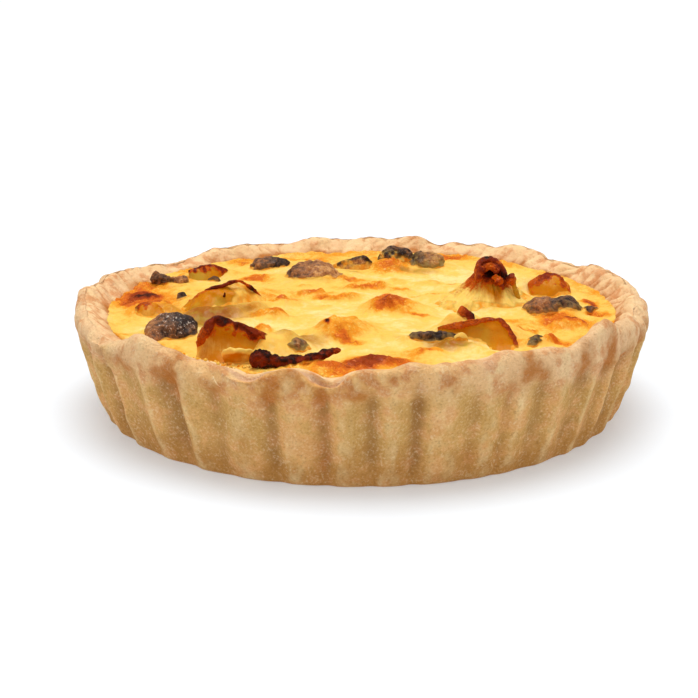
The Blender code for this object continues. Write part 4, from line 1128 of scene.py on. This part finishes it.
# Name, bearings and heights, seed
THREADS = [
    ("dough_thread_high", [(-25.9, 22), (-25, 20.8), (-24.1, 20.1)], 121),
    ("dough_thread_low", [(-20.6, 17.7), (-20.2, 17.3), (-19.8, 17)], 123)]
for name, line, seed in THREADS:
    bearings, levels = np.array(line).T
    path = on_crust(bearings, levels, slice(top_row, None))
    points, _, _ = strip_points(path, [THREAD_RADIUS] * len(line), seed)
    # A groove mask below zero gives the threads the pale of the painted crest highlight, as their own colour.
    masks = {"groove": -0.4, "toast_and_shade": 0, "floury": 0, "inner": 0, "golden": 0}
    piece = show(skin(name, points, masks), crust)
    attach(piece, "root")

# Floor, lights and camera
# A plain white table, a broad soft light above and fills at the front, and the photograph's own view.
floor_mesh = bpy.data.meshes.new("floor")
FLOOR_HALF = 30
FLOOR_GREY = (0.61, 0.65, 0.69, 1)
WHITE = (1, 1, 1, 1)
corners = [(x * FLOOR_HALF, y * FLOOR_HALF, 0) for x, y in ((-1, -1), (1, -1), (1, 1), (-1, 1))]
floor_mesh.from_pydata(corners, [], [(0, 1, 2, 3)])
white, _ = start_finish("white_table", Base_Color=FLOOR_GREY, Roughness=0.8, Specular_IOR_Level=0.2,
                        Emission_Color=WHITE, Emission_Strength=0.3)
floor = show(floor_mesh, white)

SKY_STRENGTH = 0.2
world = bpy.data.worlds.new("studio")
world.use_nodes = True
background = world.node_tree.nodes["Background"].inputs
background["Color"].default_value = WHITE
background["Strength"].default_value = SKY_STRENGTH
bpy.context.scene.world = world

# Name, bearing and height of the light in degrees, softness in degrees, strength
SOFTBOXES = [
    ("light_above", 180, 79, 44, 2.5),
    ("light_left", -66, 36, 60, 0.72),
    ("light_right", 62, 34, 60, 0.64),
    ("light_front", -5, 26, 60, 0.22)]
for name, bearing, height, softness, strength in SOFTBOXES:
    lamp = bpy.data.lights.new(name, "SUN")
    lamp.angle = np.radians(softness)
    lamp.energy = strength
    softbox = bpy.data.objects.new(name, lamp)
    bpy.context.scene.collection.objects.link(softbox)
    softbox.rotation_euler = (np.radians(90 - height), 0, np.radians(bearing))

CAMERA_DISTANCE = 320
CAMERA_ELEVATION = 18.18
FOCAL_PIXELS = 1397
IMAGE_PIXELS = 698
CENTRE_U, CENTRE_V = 360.8, 394.2
SENSOR = 36
elevation = np.radians(CAMERA_ELEVATION)
eye = CAMERA_DISTANCE * np.array([0, -np.cos(elevation), np.sin(elevation)])
forward = -eye / CAMERA_DISTANCE
right = np.array([1, 0, 0])
up = np.cross(right, forward)
pan = np.arctan((CENTRE_U - IMAGE_PIXELS / 2) / FOCAL_PIXELS)
tilt = np.arctan((CENTRE_V - IMAGE_PIXELS / 2) / FOCAL_PIXELS)
ahead = np.cos(pan) * forward - np.sin(pan) * right
right = np.cos(pan) * right + np.sin(pan) * forward
forward = np.cos(tilt) * ahead + np.sin(tilt) * up
up = np.cos(tilt) * up - np.sin(tilt) * ahead
lens = bpy.data.cameras.new("camera")
lens.sensor_width = SENSOR
lens.lens = SENSOR * FOCAL_PIXELS / IMAGE_PIXELS
lens.clip_start = 0.01
camera = bpy.data.objects.new("camera", lens)
bpy.context.scene.collection.objects.link(camera)
camera.location = eye * MM
facing = np.stack([right, up, -forward], axis=1)
camera.rotation_mode = "QUATERNION"
camera.rotation_quaternion = Matrix(facing.tolist()).to_quaternion()
bpy.context.scene.camera = camera
bpy.context.scene.view_settings.view_transform = "Standard"
